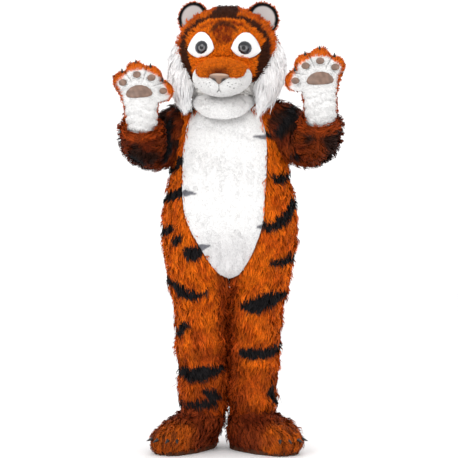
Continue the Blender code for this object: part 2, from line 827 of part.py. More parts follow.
EYE_PATCH_AT = (92.0, 1649.0)
EYE_PATCH = (58.0, 74.0, 39.0)  # half width, height above its corners and depth below them
EYE_PATCH_POWER = 1.5  # 1 is a kite and 2 an oval
EYE_AT = (88.0, 1654.0)
EYE_SIZE = 27.0
EYE_RISE = 13.0
SUNK = 5.0  # the blanks of the patches and eyes reach this far in, before they are fitted
EAR_AT = Vector((141.0, -8.0, 1798.0))
EAR_SPREAD = math.radians(18.0)
EAR_CUP = 0.0040  # how far forward the ear curves, for its radius squared
EAR_LAYERS = [  # name, finish, rings, base and thickness
    ("ear_back", "orange_fur", (0.0, 30.0, 57.0, 66.0), 0.0, 7.0),
    ("ear_front", "white_plush", (0.0, 30.0, 57.0), 7.0 + SEAM, 4.0),
]
RUFF = table("height x y long thick heading", [
    (1408, 156, -142, 3, 3, 10),
    (1424, 163, -134, 24, 13, 18),
    (1450, 172, -119, 42, 19, 28),
    (1500, 181, -94, 58, 24, 36),
    (1550, 191, -70, 66, 27, 40),
    (1600, 200, -52, 62, 26, 40),
    (1650, 203, -37, 48, 20, 38),
    (1690, 203, -26, 26, 12, 35),
    (1714, 203, -20, 3, 3, 30),
])
RUFF_ROWS = [1408, 1424, 1450, 1490, 1535, 1580, 1625, 1665, 1695, 1714]
BIB = table("height half_width front", [
    (1355, 152, 168),
    (1380, 166, 182),
    (1410, 175, 189),
    (1436, 170, 180),
    (1456, 152, 160),
    (1470, 135, 138),
])
BIB_EDGE = table("turn low", [  # the lower edge rises from the middle to the sides
    (0.0, 1361),
    (0.065, 1372),
    (0.10, 1394),
    (0.135, 1426),
    (0.165, 1452),
    (0.20, 1461),
    (0.24, 1464),
])
BIB_SHARES = steps(0.0, 1.0, 5)
BIB_COLUMNS = 14
BIB_HALF_TURN = 0.235


def disc(name, finish, radii, turns, outer, inner):
    """A round piece from its middle out: outer and inner give the points of its faces."""
    bm = bmesh.new()
    faces = []
    for point in (outer, inner):
        grid = [row_of(bm, [head_place(point(radius, turn)) for turn in turns], i == 0)
                for i, radius in enumerate(radii)]
        skin(bm, grid, True)
        faces.append(grid)
    skin(bm, [faces[0][-1], faces[1][-1]], True)
    return new_piece(bm, name, finish)


def on_face(across, height, lift):
    """A point of the head's front, by its place as seen from the front."""
    turn = math.asin(max(-1.0, min(1.0, across / read(HEAD, "half_width", height)))) / (2.0 * math.pi)
    return HEAD_FORM.layer(height, turn, lift)


for side, sign in SIDES.items():
    def patch_point(radius, turn, lift):
        """A patch between a kite and an oval, with a corner towards the nose and one away from it."""
        across, up = math.cos(2.0 * math.pi * turn), math.sin(2.0 * math.pi * turn)
        powers = abs(across) ** EYE_PATCH_POWER + abs(up) ** EYE_PATCH_POWER
        reach = radius * powers ** (-1.0 / EYE_PATCH_POWER)
        tall = EYE_PATCH[1] if up > 0.0 else EYE_PATCH[2]
        across = sign * (EYE_PATCH_AT[0] + reach * EYE_PATCH[0] * across)
        return on_face(across, EYE_PATCH_AT[1] + reach * tall * up, lift)

    def eye_point(radius, turn, rise):
        angle = 2.0 * math.pi * turn
        across = EYE_AT[0] + radius * EYE_SIZE * math.cos(angle)
        height = EYE_AT[1] + radius * EYE_SIZE * math.sin(angle)
        dome = rise * math.sqrt(max(1.0 - radius * radius, 0.0))
        return on_face(sign * across, height, PLUSH_WALL + 2.0 * SEAM + dome if rise else -SUNK)

    patch = disc(f"eye_patch_{side}", "white_plush", (0.0, 0.5, 1.0), around(14),
                 lambda radius, turn: patch_point(radius, turn, PLUSH_WALL + SEAM),
                 lambda radius, turn: patch_point(radius, turn, -SUNK))
    combine(patch, head_core)
    under_eye = disc(f"under_eye_{side}", None, (0.0, 0.5, 1.0), around(14),
                     lambda radius, turn: patch_point(radius, turn, PLUSH_WALL + 2.0 * SEAM),
                     lambda radius, turn: patch_point(radius, turn, -2.0 * SUNK))
    eye = disc(f"eye_{side}", "eye_plastic", (0.0, 0.5, 0.85, 1.0), around(12),
               lambda radius, turn: eye_point(radius, turn, EYE_RISE),
               lambda radius, turn: eye_point(radius, turn, 0.0))
    combine(eye, under_eye)

    for name, finish, rings, base, thick in EAR_LAYERS:
        def ear_point(radius, turn, depth):
            """A cupped disc that faces forward and a little outward."""
            angle = 2.0 * math.pi * turn
            cupped = -EAR_CUP * radius * radius - depth
            spot = Vector((radius * math.cos(angle), cupped, radius * math.sin(angle)))
            turned = Matrix.Rotation(EAR_SPREAD, 3, "Z") @ spot + EAR_AT
            return Vector((sign * turned.x, turned.y, turned.z))

        ear = disc(f"{name}_{side}", finish, rings, around(11),
                   lambda radius, turn: ear_point(radius, turn, base + thick),
                   lambda radius, turn: ear_point(radius, turn, base))
        combine(ear, head_core)

    def ruff_layer(height, turn, lift):
        """A tuft of long fur, oval across and swept back."""
        angle = 2.0 * math.pi * turn
        heading = math.radians(read(RUFF, "heading", height))
        long = read(RUFF, "long", height) * math.cos(angle)
        thick = read(RUFF, "thick", height) * math.sin(angle)
        across = read(RUFF, "x", height) + long * math.cos(heading) - thick * math.sin(heading)
        depth = read(RUFF, "y", height) + long * math.sin(heading) + thick * math.cos(heading)
        return Vector((sign * across, depth, height))

    ruff = solid(f"ruff_{side}", "white_fur", RUFF_ROWS, lambda height: around(12), ruff_layer, head_place,
                 peaks=(True, True))
    combine(ruff, head_core)


def bib_layer(share, turn, lift):
    height = mix(read(BIB_EDGE, "low", abs(turn)), HEAD_RIM - 2.0 * SEAM, share)
    grow = lift / read(BIB, "front", height)
    point = oval(read(BIB, "half_width", height), read(BIB, "front", height), 1.0, turn, height)
    return Vector((point.x * (1.0 + grow), point.y * (1.0 + grow), height))


wall("bib", "white_plush", BIB_SHARES, lambda share: steps(-BIB_HALF_TURN, BIB_HALF_TURN, BIB_COLUMNS),
     bib_layer, PLUSH_WALL, head_place)


# ---------------------------------------------------------------- mitts

MITT_ARM = table("height y lean half_width half_depth", [  # lean in degrees, of the arm towards the palm side
    (-75, 75, 46, 62, 62),
    (-38, 37, 44, 64, 63),
    (0, 4, 30, 66, 60),
    (30, -8, 14, 68, 53),
    (65, -14, 5, 76, 45),
    (98, -16, 0, 86, 40),
])
HAND_HEIGHT = 98.0  # of the middle that the toes spread from
HAND_ROWS = 11
MITT_ROWS = [-75, -38, 0, 28, 49, 60, 77, 98]
MITT_ROWS += [HAND_HEIGHT + 90.0 * i / HAND_ROWS for i in range(1, HAND_ROWS + 1)]
MITT_TOP = MITT_ROWS[-1]
HAND = Vector((86.0, 40.0, 76.0))
MITT_COLUMNS = 7  # of each face
MITT_WALL = 5.0
TOES = [  # name, x, y, z, half width, half depth, half height
    ("thumb", 94, -16, 94, 44, 38, 43),
    ("index", 50, -16, 150, 46, 40, 48),
    ("middle", -8, -16, 166, 44, 40, 50),
    ("little", -66, -16, 138, 42, 38, 46),
]
TOE_PAD = (18.0, 15.0)  # half width and half height
TOE_PAD_DROP = 4.0  # below the toe's middle
MAIN_PAD_AT = (-4.0, 94.0)
MAIN_PAD = (58.0, 28.0)
PAD_THICK = 5.0
MITT_PLACES = {  # wrist in mm, and the hand's tilt and turn in degrees
    "left": (Vector((360, -280, 1418)), -3.0, -4.0),
    "right": (Vector((-361, -166, 1378)), -4.0, 4.0),
}
MITT_CLAW = (18.0, 6.5)  # length and radius
CLAW_SINK = 0.6
MITT_CLAW_LEAN = math.radians(32.0)  # of a claw, from the fingertips towards the palm


def mitt_place(side):
    """A mitt is drawn with its thumb towards +X and its palm towards -Y, its wrist at the origin."""
    wrist, tilt, turn = MITT_PLACES[side]
    turned = Matrix.Rotation(math.radians(tilt), 3, "Y") @ Matrix.Rotation(math.radians(turn), 3, "Z")
    return lambda point: wrist + turned @ Vector((-SIDES[side] * point.x, point.y, point.z))


def mitt_middle(row):
    height = min(row, HAND_HEIGHT)
    return Vector((0.0, read(MITT_ARM, "y", height), height))


def palm_side(row):
    lean = math.radians(read(MITT_ARM, "lean", min(row, HAND_HEIGHT)))
    return Vector((0.0, -math.cos(lean), -math.sin(lean)))


def reach(origin, direction, centre, radii):
    """How far out an ellipsoid is left for good along a line, or zero."""
    start = Vector((a / b for a, b in zip(origin - centre, radii)))
    step = Vector((a / b for a, b in zip(direction, radii)))
    square, half, rest = step.dot(step), start.dot(step), start.dot(start) - 1.0
    under = half * half - square * rest
    return (math.sqrt(under) - half) / square if under > 0.0 else 0.0


def mitt_point(row, turn):
    """Rings across the arm up to the hand, then fanned out over the toes; turn 0 is the palm."""
    middle = mitt_middle(row)
    angle = 2.0 * math.pi * turn
    rise = math.radians(max(row - HAND_HEIGHT, 0.0))
    level = Vector((math.sin(angle), 0.0, 0.0)) + palm_side(row) * math.cos(angle)
    direction = level * math.cos(rise) + Vector((0.0, 0.0, math.sin(rise)))
    if row < HAND_HEIGHT:
        sizes = read(MITT_ARM, "half_width", row), read(MITT_ARM, "half_depth", row)
        body = 1.0 / math.hypot(math.sin(angle) / sizes[0], math.cos(angle) / sizes[1])
    else:
        body = reach(Vector(), direction, Vector(), HAND)
    toes = [reach(middle, direction, Vector(toe[1:4]), toe[4:7]) for toe in TOES]
    return middle + direction * max(toes + [body])


MITT_FORM = Form(mitt_point, mitt_middle, 2.0, 0.012, (-75, MITT_TOP))


def mitt_face(shift):
    def layer(row, turn, lift):
        if row == MITT_TOP:
            point = mitt_point(row, 0.0) + Vector((0.0, 0.0, lift))
        else:
            point = MITT_FORM.layer(row, turn, lift)
        return point + palm_side(row) * shift

    return layer


def palm_front(across, height, lift):
    """The foremost point of the mitt there, moved out by the lift."""
    fronts = []
    for toe in TOES:
        x, y, z, half_width, half_depth, half_height = toe[1:]
        inside = 1.0 - ((across - x) / half_width) ** 2 - ((height - z) / half_height) ** 2
        if inside > 0.0:
            fronts.append(y - half_depth * math.sqrt(inside))
    if height < HAND_HEIGHT:
        width, depth, up = read(MITT_ARM, "half_width", height), read(MITT_ARM, "half_depth", height), 0.0
    else:
        width, depth, up = HAND.x, HAND.y, (height - HAND_HEIGHT) / HAND.z
    inside = 1.0 - (across / width) ** 2 - up * up
    if inside > 0.0:
        fronts.append(mitt_middle(height).y - depth * math.sqrt(inside))
    return Vector((across, min(fronts) - lift, height))


def pad(name, middle, half_width, half_height, place, columns, hand_form, waist=0.0):
    """Thin foam under vinyl, fitted to the palm side; a waist lowers the ends of the pad."""
    def point(radius, turn, lift):
        angle = 2.0 * math.pi * turn
        up = math.sin(angle) - waist * math.cos(angle) ** 2
        small = 1.0 if lift < PAD_THICK else 0.92
        return palm_front(middle[0] + radius * small * math.cos(angle) * half_width,
                          middle[1] + radius * small * up * half_height, lift)

    bm = bmesh.new()
    faces = []
    for lift, rings in ((PAD_THICK, (0.0, 0.65, 1.0)), (-SUNK, (0.0, 1.0))):
        grid = [row_of(bm, [place(point(radius, turn, lift)) for turn in around(columns)], i == 0)
                for i, radius in enumerate(rings)]
        skin(bm, grid, True)
        faces.append(grid)
    skin(bm, [faces[0][-1], faces[1][-1]], True)
    combine(new_piece(bm, name, "brown_vinyl"), hand_form)


def claw(name, base, direction, length, radius):
    """A short cone with a blunt tip."""
    bm = bmesh.new()
    bmesh.ops.create_cone(bm, segments=7, radius1=radius, radius2=1.2, depth=length, cap_ends=True)
    turned = Vector((0.0, 0.0, 1.0)).rotation_difference(direction).to_matrix()
    middle = base + direction * (0.5 * length + CLAW_SINK)
    for vertex in bm.verts:
        vertex.co = metres(middle + turned @ Vector(vertex.co))
    return new_piece(bm, name, "black_claw")


for side in SIDES:
    place = mitt_place(side)
    for name, finish, first, shift in (
        ("palm", "white_plush", -0.25, 0.5),
        ("back", "orange_fur", 0.25, -0.5),
    ):
        columns = steps(first, first + 0.5, MITT_COLUMNS)
        wall(
            f"mitt_{name}_{side}", finish, MITT_ROWS, lambda row: columns, mitt_face(shift * SEAM), MITT_WALL,
            place, peak=True,
        )
    whole = around(2 * MITT_COLUMNS, -0.25, 0.75)
    form = solid(
        f"mitt_form_{side}", None, MITT_ROWS, lambda row: whole, mitt_face(0.5 * SEAM), place, SEAM,
        (False, True),
    )
    for name, x, y, z, half_width, half_depth, half_height in TOES:
        pad(f"pad_{name}_{side}", (x, z - TOE_PAD_DROP), *TOE_PAD, place, 10, form)
        lean = Vector((0.0, -math.sin(MITT_CLAW_LEAN), math.cos(MITT_CLAW_LEAN)))
        tip = Vector((x, y, z)) + lean * Vector((half_width, half_depth, half_height))
        start, end = place(tip), place(tip + lean)
        claw(f"claw_{name}_{side}", start, (end - start).normalized(), *MITT_CLAW)
    pad(f"pad_main_{side}", MAIN_PAD_AT, *MAIN_PAD, place, 14, form, waist=0.35)


# ---------------------------------------------------------------- boots

BOOT = table("height half_width front back", [
    (18.3, 104, 230, 103),
    (40, 113, 243, 109),
    (65, 118, 247, 111),
    (95, 114, 233, 107),
    (120, 105, 200, 101),
    (138, 95, 142, 94),
    (150, 84, 102, 85),
    (160, 74, 78, 75),
    (200, 71, 73, 73),
])
BOOT_ROWS = [18.3, 42, 70, 98, 120, 138, 157, 200]
BOOT_SQUARENESS = 0.82
BOOT_WALL = 7.0
SOLE_ROWS = [0, 4, 18]
SOLE_OUT = 3.0
SOLE_INSET = 4.0
TOE_RISE = 13.0
TOE_STEP = 0.044  # of a turn, from one toe to the next
TOE_FADE_LOW = 95.0
TOE_FADE_HIGH = 130.0
BOOT_PLACES = {  # ankle x, how far the foot is set from under it, and toes turned out in degrees
    "left": (95.0, (9.0, -32.0), 36.0),
    "right": (-117.0, (-44.0, -4.0), 26.0),
}
FOOT_LOW = 50.0
FOOT_HIGH = 150.0
BOOT_FRONT_TURNS = steps(-2.0 * TOE_STEP, 2.0 * TOE_STEP, 12)
BOOT_BACK_COLUMNS = 10
BOOT_CLAW = (28.0, 8.5)  # length and radius
BOOT_CLAW_HEIGHT = 66.0
BOOT_CLAW_LEAN = math.radians(20.0)


def boot_turns(_height):
    start = BOOT_FRONT_TURNS[-1]
    return BOOT_FRONT_TURNS + steps(start, 1.0 - start, BOOT_BACK_COLUMNS)[1:-1]


def boot_point(height, turn):
    """Level rings, squarer at the toes, with four toes pressed out of the front."""
    angle = 2.0 * math.pi * turn
    front = math.cos(angle) > 0.0
    power = BOOT_SQUARENESS if front else 1.0
    off_middle = min(turn % 1.0, 1.0 - turn % 1.0)
    toes = abs(math.sin(math.pi * off_middle / TOE_STEP)) if off_middle < 2.0 * TOE_STEP else 0.0
    rise = TOE_RISE * toes * (1.0 - ease((height - TOE_FADE_LOW) / (TOE_FADE_HIGH - TOE_FADE_LOW)))
    depth = read(BOOT, "front" if front else "back", height) + (rise if front else 0.0)
    across = read(BOOT, "half_width", height) * math.copysign(abs(math.sin(angle)) ** power, math.sin(angle))
    return Vector((across, -depth * math.copysign(abs(math.cos(angle)) ** power, math.cos(angle)), height))


BOOT_FORM = Form(
    boot_point, lambda height: Vector((0.0, 0.0, min(height, 60.0))), 2.0, 0.006, (18.3, 200)
)


def boot_place(side):
    ankle, foot, turned_out = BOOT_PLACES[side]
    turned = Matrix.Rotation(math.radians(SIDES[side] * turned_out), 3, "Z")

    def place(point):
        share = 1.0 - ease((point.z - FOOT_LOW) / (FOOT_HIGH - FOOT_LOW))
        return Vector((ankle + share * foot[0], share * foot[1], 0.0)) + turned @ point

    return place


def sole_layer(height, turn, lift):
    edge = boot_point(BOOT_ROWS[0], turn)
    out = edge.normalized() * (SOLE_OUT - (SOLE_INSET if height == 0 else 0.0))
    return Vector((edge.x + out.x, edge.y + out.y, height))


for side in SIDES:
    place = boot_place(side)
    wall(f"boot_{side}", "dark_fur", BOOT_ROWS, boot_turns, BOOT_FORM.layer, BOOT_WALL, place, closed=True)
    solid(f"sole_{side}", "sole_foam", SOLE_ROWS, boot_turns, sole_layer, place)
    for i, toe in enumerate((-1.5, -0.5, 0.5, 1.5)):
        turn = toe * TOE_STEP
        out = BOOT_FORM.normal(BOOT_CLAW_HEIGHT, turn)
        flat = Vector((out.x, out.y, 0.0)).normalized()
        lean = flat * math.cos(BOOT_CLAW_LEAN) + Vector((0.0, 0.0, -math.sin(BOOT_CLAW_LEAN)))
        start = BOOT_FORM.layer(BOOT_CLAW_HEIGHT, turn, SEAM)
        facing = (place(start + lean) - place(start)).normalized()
        claw(f"claw_boot_{i + 1}_{side}", place(start), facing, *BOOT_CLAW)
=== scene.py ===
"""A tiger mascot costume as it is worn: foam head, fur suit with a white plush front, paw mitts and boots.

Lengths are in metres, and the origin is on the wearer's shoulders, 1.430 m above the floor. The costume faces
-Y, and the wearer's left arm is towards +X. "left" and "right" are the wearer's own.
"""

import json
import math
from functools import partial

import bmesh
import bpy
import numpy as np
from mathutils import Matrix, Vector
from mathutils.bvhtree import BVHTree


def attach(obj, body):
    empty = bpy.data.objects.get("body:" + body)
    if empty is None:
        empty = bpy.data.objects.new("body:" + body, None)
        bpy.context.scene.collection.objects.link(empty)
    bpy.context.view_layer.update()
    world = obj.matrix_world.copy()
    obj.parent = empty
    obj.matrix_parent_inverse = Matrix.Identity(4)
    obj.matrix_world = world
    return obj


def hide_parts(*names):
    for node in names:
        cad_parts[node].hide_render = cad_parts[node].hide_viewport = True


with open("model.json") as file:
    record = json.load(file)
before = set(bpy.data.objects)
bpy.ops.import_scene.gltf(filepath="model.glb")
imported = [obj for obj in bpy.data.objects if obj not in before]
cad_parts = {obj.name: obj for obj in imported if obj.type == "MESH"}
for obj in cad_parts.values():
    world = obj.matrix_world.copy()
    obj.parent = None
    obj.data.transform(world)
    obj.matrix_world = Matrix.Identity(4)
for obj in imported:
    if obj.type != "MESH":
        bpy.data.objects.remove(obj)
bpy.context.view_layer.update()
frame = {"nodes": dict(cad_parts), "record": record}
scene = bpy.context.scene

# ---------------------------------------------------------------- camera, floor and studio light
# A portrait lens stands level, 0.92 m above a pale floor. The light is broad and soft, as in a shop's studio:
# two big softboxes in front, a third behind and above, and a white room that fills the rest.

FLOOR = -1.430
CAMERA_FAR = 5.5
CAMERA_HEIGHT = 0.916
SEEN_WIDTH = 1.926  # across the picture at the costume's middle
SOFTBOXES = [  # name, place, aimed at, size, power
    ("key", (-2.3, -3.6, 1.9), (0.0, 0.0, -0.3), 2.6, 70.0),
    ("fill", (3.0, -3.0, 0.9), (0.0, 0.0, -0.4), 2.2, 22.0),
    ("rim", (0.6, 3.2, 2.4), (0.0, 0.0, -0.3), 2.4, 30.0),
]

camera = bpy.data.objects.new("camera", bpy.data.cameras.new("camera"))
camera.data.sensor_width = 36.0
camera.data.lens = 36.0 * CAMERA_FAR / SEEN_WIDTH
camera.location = (-0.0042, -CAMERA_FAR, FLOOR + CAMERA_HEIGHT)
camera.rotation_euler = (math.pi / 2, 0.0, 0.0)
scene.collection.objects.link(camera)
scene.camera = camera

for name, place, aim, size, power in SOFTBOXES:
    light = bpy.data.lights.new(name, "AREA")
    light.shape, light.size, light.energy = "DISK", size, power
    softbox = bpy.data.objects.new(name, light)
    softbox.location = place
    softbox.rotation_euler = (Vector(aim) - Vector(place)).to_track_quat("-Z", "Y").to_euler()
    scene.collection.objects.link(softbox)

room = bpy.data.worlds.new("room")
room.use_nodes = True
room.node_tree.nodes["Background"].inputs["Color"].default_value = (1.0, 1.0, 1.0, 1.0)
room.node_tree.nodes["Background"].inputs["Strength"].default_value = 1.15
scene.world = room
scene.view_settings.view_transform = "Standard"


class Reading:
    """A number in a finish. Sums and products of readings add their Math nodes."""

    def __init__(self, finish, socket):
        self.finish, self.socket = finish, socket

    def worked(self, operation, first, second):
        return Reading(self.finish, self.finish.add("Math", {"operation": operation}, {0: first, 1: second}))

    def __add__(self, other):
        return self.worked("ADD", self, other)

    def __mul__(self, other):
        return self.worked("MULTIPLY", self, other)

    def __rsub__(self, other):
        return self.worked("SUBTRACT", other, self)

    __radd__, __rmul__ = __add__, __mul__

    def held(self, low, high):
        """0 at low and below, 1 at high and above."""
        given = {"Value": self, "From Min": low, "From Max": high}
        return Reading(self.finish, self.finish.add("MapRange", {"interpolation_type": "SMOOTHSTEP"}, given))


class Finish:
    """A material on one Principled shader."""

    def __init__(self, name, **constants):
        self.material = bpy.data.materials.new(name)
        self.material.use_nodes = True
        self.nodes = self.material.node_tree.nodes
        self.shader = self.nodes["Principled BSDF"]
        for name, value in constants.items():
            self.shader.inputs[name.replace("_", " ")].default_value = value
        self.spot = self.add("TexCoord", {}, {}, "Object")

    def add(self, kind, settings, given, out=0):
        """A node, its settings first and then its sockets; gives the socket asked for."""
        node = self.nodes.new("ShaderNode" + kind)
        for name, value in settings.items():
            setattr(node, name, value)
        for name, value in given.items():
            socket = node.inputs[name]
            value = getattr(value, "socket", value)
            if isinstance(value, bpy.types.NodeSocket):
                self.material.node_tree.links.new(value, socket)
            else:
                socket.default_value = (*value, 1.0) if socket.type == "RGBA" and len(value) == 3 else value
        return node.outputs[out]

    def grain(self, scale, detail=2.0, rough=0.5, spot=None, stretch=(1.0, 1.0, 1.0)):
        """Noise from 0 to 1, its repeats per metre set by the scale."""
        stretched = self.add("Mapping", {}, {"Vector": spot or self.spot, "Scale": stretch})
        given = {"Vector": stretched, "Scale": scale, "Detail": detail, "Roughness": rough}
        return Reading(self, self.add("TexNoise", {}, given))

    def mixed(self, share, first, second, blend="MIX"):
        """A colour between two, or one blended onto another."""
        return self.add("Mix", {"data_type": "RGBA", "blend_type": blend}, {0: share, 6: first, 7: second}, 2)

    def tinted(self, shade):
        """The colours painted on the piece, shaded."""
        return self.mixed(1.0, self.add("Attribute", {"attribute_name": "tint"}, {}), shade, "MULTIPLY")

    def raised(self, height, deep, normal=None):
        """A bump of this depth in metres."""
        given = {"Height": height, "Distance": deep, "Strength": 1.0}
        return self.add("Bump", {}, given if normal is None else {**given, "Normal": normal})

    def wear(self, **links):
        for name, value in links.items():
            socket = getattr(value, "socket", value)
            self.material.node_tree.links.new(socket, self.shader.inputs[name.replace("_", " ")])
        return self.material


floor_finish = Finish("studio_floor", Roughness=0.8)
floor_cloud = floor_finish.grain(1.5)
floor_finish.wear(Base_Color=floor_finish.mixed(floor_cloud, (0.86, 0.86, 0.86), (0.89, 0.89, 0.89)))
bpy.ops.mesh.primitive_circle_add(vertices=64, radius=14.0, fill_type="NGON", location=(0.0, 0.0, FLOOR))
floor = bpy.context.object
floor.name = "floor"
floor.data.materials.append(floor_finish.material)

# ---------------------------------------------------------------- body suit of long-pile fur
# Two fronts and two backs of knitted backing with a 35 to 45 mm pile that lies downwards, sewn from the
# shoulders to the hem of each leg. The pile is combed out over every seam, and black stripes are part of it.

SIDES = {"left": 1, "right": -1}
COAT_NODES = [
    "front_left", "front_right", "back_left", "back_right", "belly", "sleeve_left", "sleeve_right", "head_face",
    "head_back", "muzzle", "muzzle_bridge", "boot_left", "boot_right", "mitt_back_left", "mitt_back_right",
    "mitt_palm_left", "mitt_palm_right", "bib", "ear_back_left", "ear_back_right", "ruff_left", "ruff_right",
    "sole_left", "sole_right",
]
PILE_SUNK = 0.005  # how far the backing lies under the solid's skin
ORANGE = (0.70, 0.135, 0.004)
DEEP_ORANGE = (0.46, 0.062, 0.003)
RUST = (0.25, 0.030, 0.004)
SHIN_ORANGE = (0.30, 0.045, 0.004)
BLACK = (0.010, 0.009, 0.010)
CHEST_TURN = math.radians(-12.0)
LEG_MIDDLE = [(163, 105), (449, 112), (651, 119.5), (770, 130)]  # height and distance from the middle, mm
STRIPES = {  # angle round the body in degrees, 0 in front and 180 behind; height and half width in mm
    "right": [
        [(150, 1436, 8), (118, 1440, 16), (82, 1435, 21), (67, 1422, 17), (56, 1411, 10)],
        [(112, 1150, 4), (84, 1158, 14), (66, 1166, 13), (63, 1195, 17)],
        [(128, 1030, 3), (98, 1036, 15), (69, 1050, 19), (57, 1061, 17), (46, 1064, 14)],
        [(110, 896, 4), (86, 902, 15), (73, 912, 17), (60, 920, 6)],
        [(65, 858, 8), (61, 866, 12), (55, 887, 8)],
        [(54, 826, 10), (48, 815, 23), (38, 826, 18), (31, 838, 12)],
        [(118, 716, 4), (86, 706, 14), (64, 684, 12), (50, 656, 14), (33, 644, 14), (16, 641, 14),
         (5, 651, 8)],
        [(100, 470, 4), (66, 484, 14), (48, 496, 10), (41, 512, 19), (23, 516, 8)],
        [(110, 318, 4), (74, 322, 14), (48, 326, 15), (27, 312, 21), (3, 318, 21), (-17, 328, 19),
         (-38, 334, 14), (-55, 338, 8)],
        [(-10, 248, 12), (-26, 234, 19), (-42, 219, 12)],
        [(130, 178, 8), (76, 183, 15), (37, 182, 15), (12, 189, 12), (-7, 198, 12), (-24, 193, 14)],
        [(176, 1330, 12), (150, 1322, 15), (122, 1334, 5)],
        [(177, 1218, 14), (154, 1206, 17), (130, 1212, 12), (108, 1232, 3)],
        [(174, 1090, 12), (152, 1078, 16), (134, 1084, 5)],
        [(176, 968, 15), (156, 952, 18), (132, 950, 14), (112, 962, 3)],
        [(170, 846, 13), (146, 830, 17), (124, 834, 6)],
        [(-160, 704, 5), (172, 694, 16), (144, 702, 15), (122, 722, 4)],
        [(-140, 560, 4), (-168, 548, 16), (160, 552, 17), (134, 566, 5)],
        [(-165, 422, 5), (170, 414, 15), (140, 420, 14), (112, 436, 4)],
        [(-130, 292, 5), (-160, 284, 15), (168, 288, 16), (138, 298, 5)],
    ],
    "left": [
        [(62, 1304, 10), (70, 1300, 14), (86, 1296, 10)],
        [(62, 1125, 10), (68, 1115, 18), (75, 1126, 12), (96, 1140, 13), (116, 1146, 3)],
        [(132, 1040, 4), (104, 1034, 15), (81, 1015, 17), (71, 974, 18), (59, 934, 18), (52, 928, 16),
         (47, 926, 11)],
        [(58, 778, 12), (66, 780, 12), (74, 792, 16), (92, 806, 12), (110, 812, 3)],
        [(-25, 603, 16), (-8, 595, 23), (12, 611, 25), (36, 631, 23), (58, 642, 15), (80, 650, 5)],
        [(-26, 408, 12), (-10, 401, 19), (16, 403, 19), (36, 407, 19), (52, 413, 17), (84, 420, 14),
         (112, 424, 4)],
        [(55, 263, 10), (49, 239, 21), (56, 204, 12), (84, 196, 10), (112, 200, 3)],
        [(178, 1330, 12), (152, 1324, 15), (124, 1336, 5)],
        [(177, 1216, 14), (150, 1202, 17), (124, 1212, 4)],
        [(174, 1096, 12), (154, 1082, 17), (130, 1080, 12), (112, 1092, 3)],
        [(176, 966, 15), (158, 952, 18), (136, 950, 6)],
        [(170, 850, 13), (148, 836, 17), (124, 832, 14), (106, 846, 4)],
        [(-156, 698, 5), (174, 690, 16), (146, 700, 15), (120, 712, 4)],
        [(-138, 546, 4), (-166, 538, 16), (162, 544, 17), (132, 562, 5)],
        [(-168, 404, 5), (168, 398, 15), (138, 404, 14), (116, 412, 4)],
        [(-134, 276, 5), (-158, 270, 15), (166, 272, 16), (140, 286, 5)],
    ],
}
STRIPE_WIDENED = 1.35  # the stripes as worn, over their widths in the table
PARTING = -0.010  # x of the middle of the body


def capped(amount):
    return np.clip(amount, 0.0, 1.0)


def eased(amount):
    amount = capped(amount)
    return amount * amount * (3.0 - 2.0 * amount)


def bell(off, width):
    return np.exp(-(off / width) ** 2)


def unit(vectors):
    return vectors / np.maximum(np.linalg.norm(vectors, axis=-1, keepdims=True), 1e-9)


def turned_about_z(points, angle):
    x, y, z = points.T
    return np.stack([x * np.cos(angle) - y * np.sin(angle), x * np.sin(angle) + y * np.cos(angle), z], 1)


def over_floor(points):
    """Places with their heights measured from the floor."""
    return points - (0.0, 0.0, FLOOR)


def in_mm(points):
    return over_floor(points) * 1000.0


def wrapped(degrees):
    """The same angles, from -180 to 180."""
    return (degrees + 180.0) % 360.0 - 180.0


def round_suit(side, points):
    """Angle in degrees, height and distance in mm of points from the middle of the body or of the leg."""
    mm = in_mm(points)
    height = mm[:, 2]
    x, y, _ = turned_about_z(mm, -CHEST_TURN * eased((height - 700.0) / 400.0)).T
    aside = -10.0 * (1.0 - eased((height - 163.0) / 937.0))
    leg = np.interp(height, *zip(*LEG_MIDDLE)) * eased((760.0 - height) / 160.0)
    across = SIDES[side] * (x - aside) - leg
    return np.degrees(np.arctan2(across, -y)), height, np.hypot(across, y)


def near_strokes(spots, strokes, soft, stretch=1.0):
    """How much each spot, in mm, lies on the strokes: rows of points that end with their half width.

    The stretch turns the points of the strokes into mm at each spot.
    """
    most = np.zeros(len(spots))
    for stroke in strokes:
        stroke = np.array(stroke, float)
        for start, end in zip(stroke, stroke[1:]):
            first, along = start[:-1] * stretch, (end - start)[:-1] * stretch
            share = ((spots - first) * along).sum(-1) / np.maximum((along * along).sum(-1), 1e-9)
            share = capped(share)
            off = np.linalg.norm(spots - first - share[:, None] * along, axis=1)
            half = start[-1] + share * (end[-1] - start[-1])
            most = np.maximum(most, eased(0.5 + (half - off) / soft))
    return most


def suit_stripes(side, points):
    angle, height, away = round_suit(side, points)
    stretch = np.stack([np.radians(away), np.ones(len(points))], 1)
    most = np.zeros(len(points))
    for stroke in STRIPES[side]:
        stroke = np.array(stroke, float)
        stroke[1:, 0] = stroke[0, 0] + wrapped(stroke[1:, 0] - stroke[0, 0])
        middle = stroke[:, 0].mean()
        spots = np.stack([wrapped(angle - middle), height], 1) * stretch
        stroke = (stroke - (middle, 0.0, 0.0)) * (1.0, 1.0, STRIPE_WIDENED)
        most = np.maximum(most, near_strokes(spots, [stroke], 6.0, stretch))
    return most


def layered(colour, *layers):
    """A colour at each point, with others laid over it in turn, each by its share there."""
    for over, share in layers:
        colour = np.asarray(colour) * (1.0 - share[:, None]) + np.asarray(over) * share[:, None]
    return colour


def seen(spots):
    """Across and height as seen from the front, in mm."""
    return spots[:, [0, 2]] * 1000.0


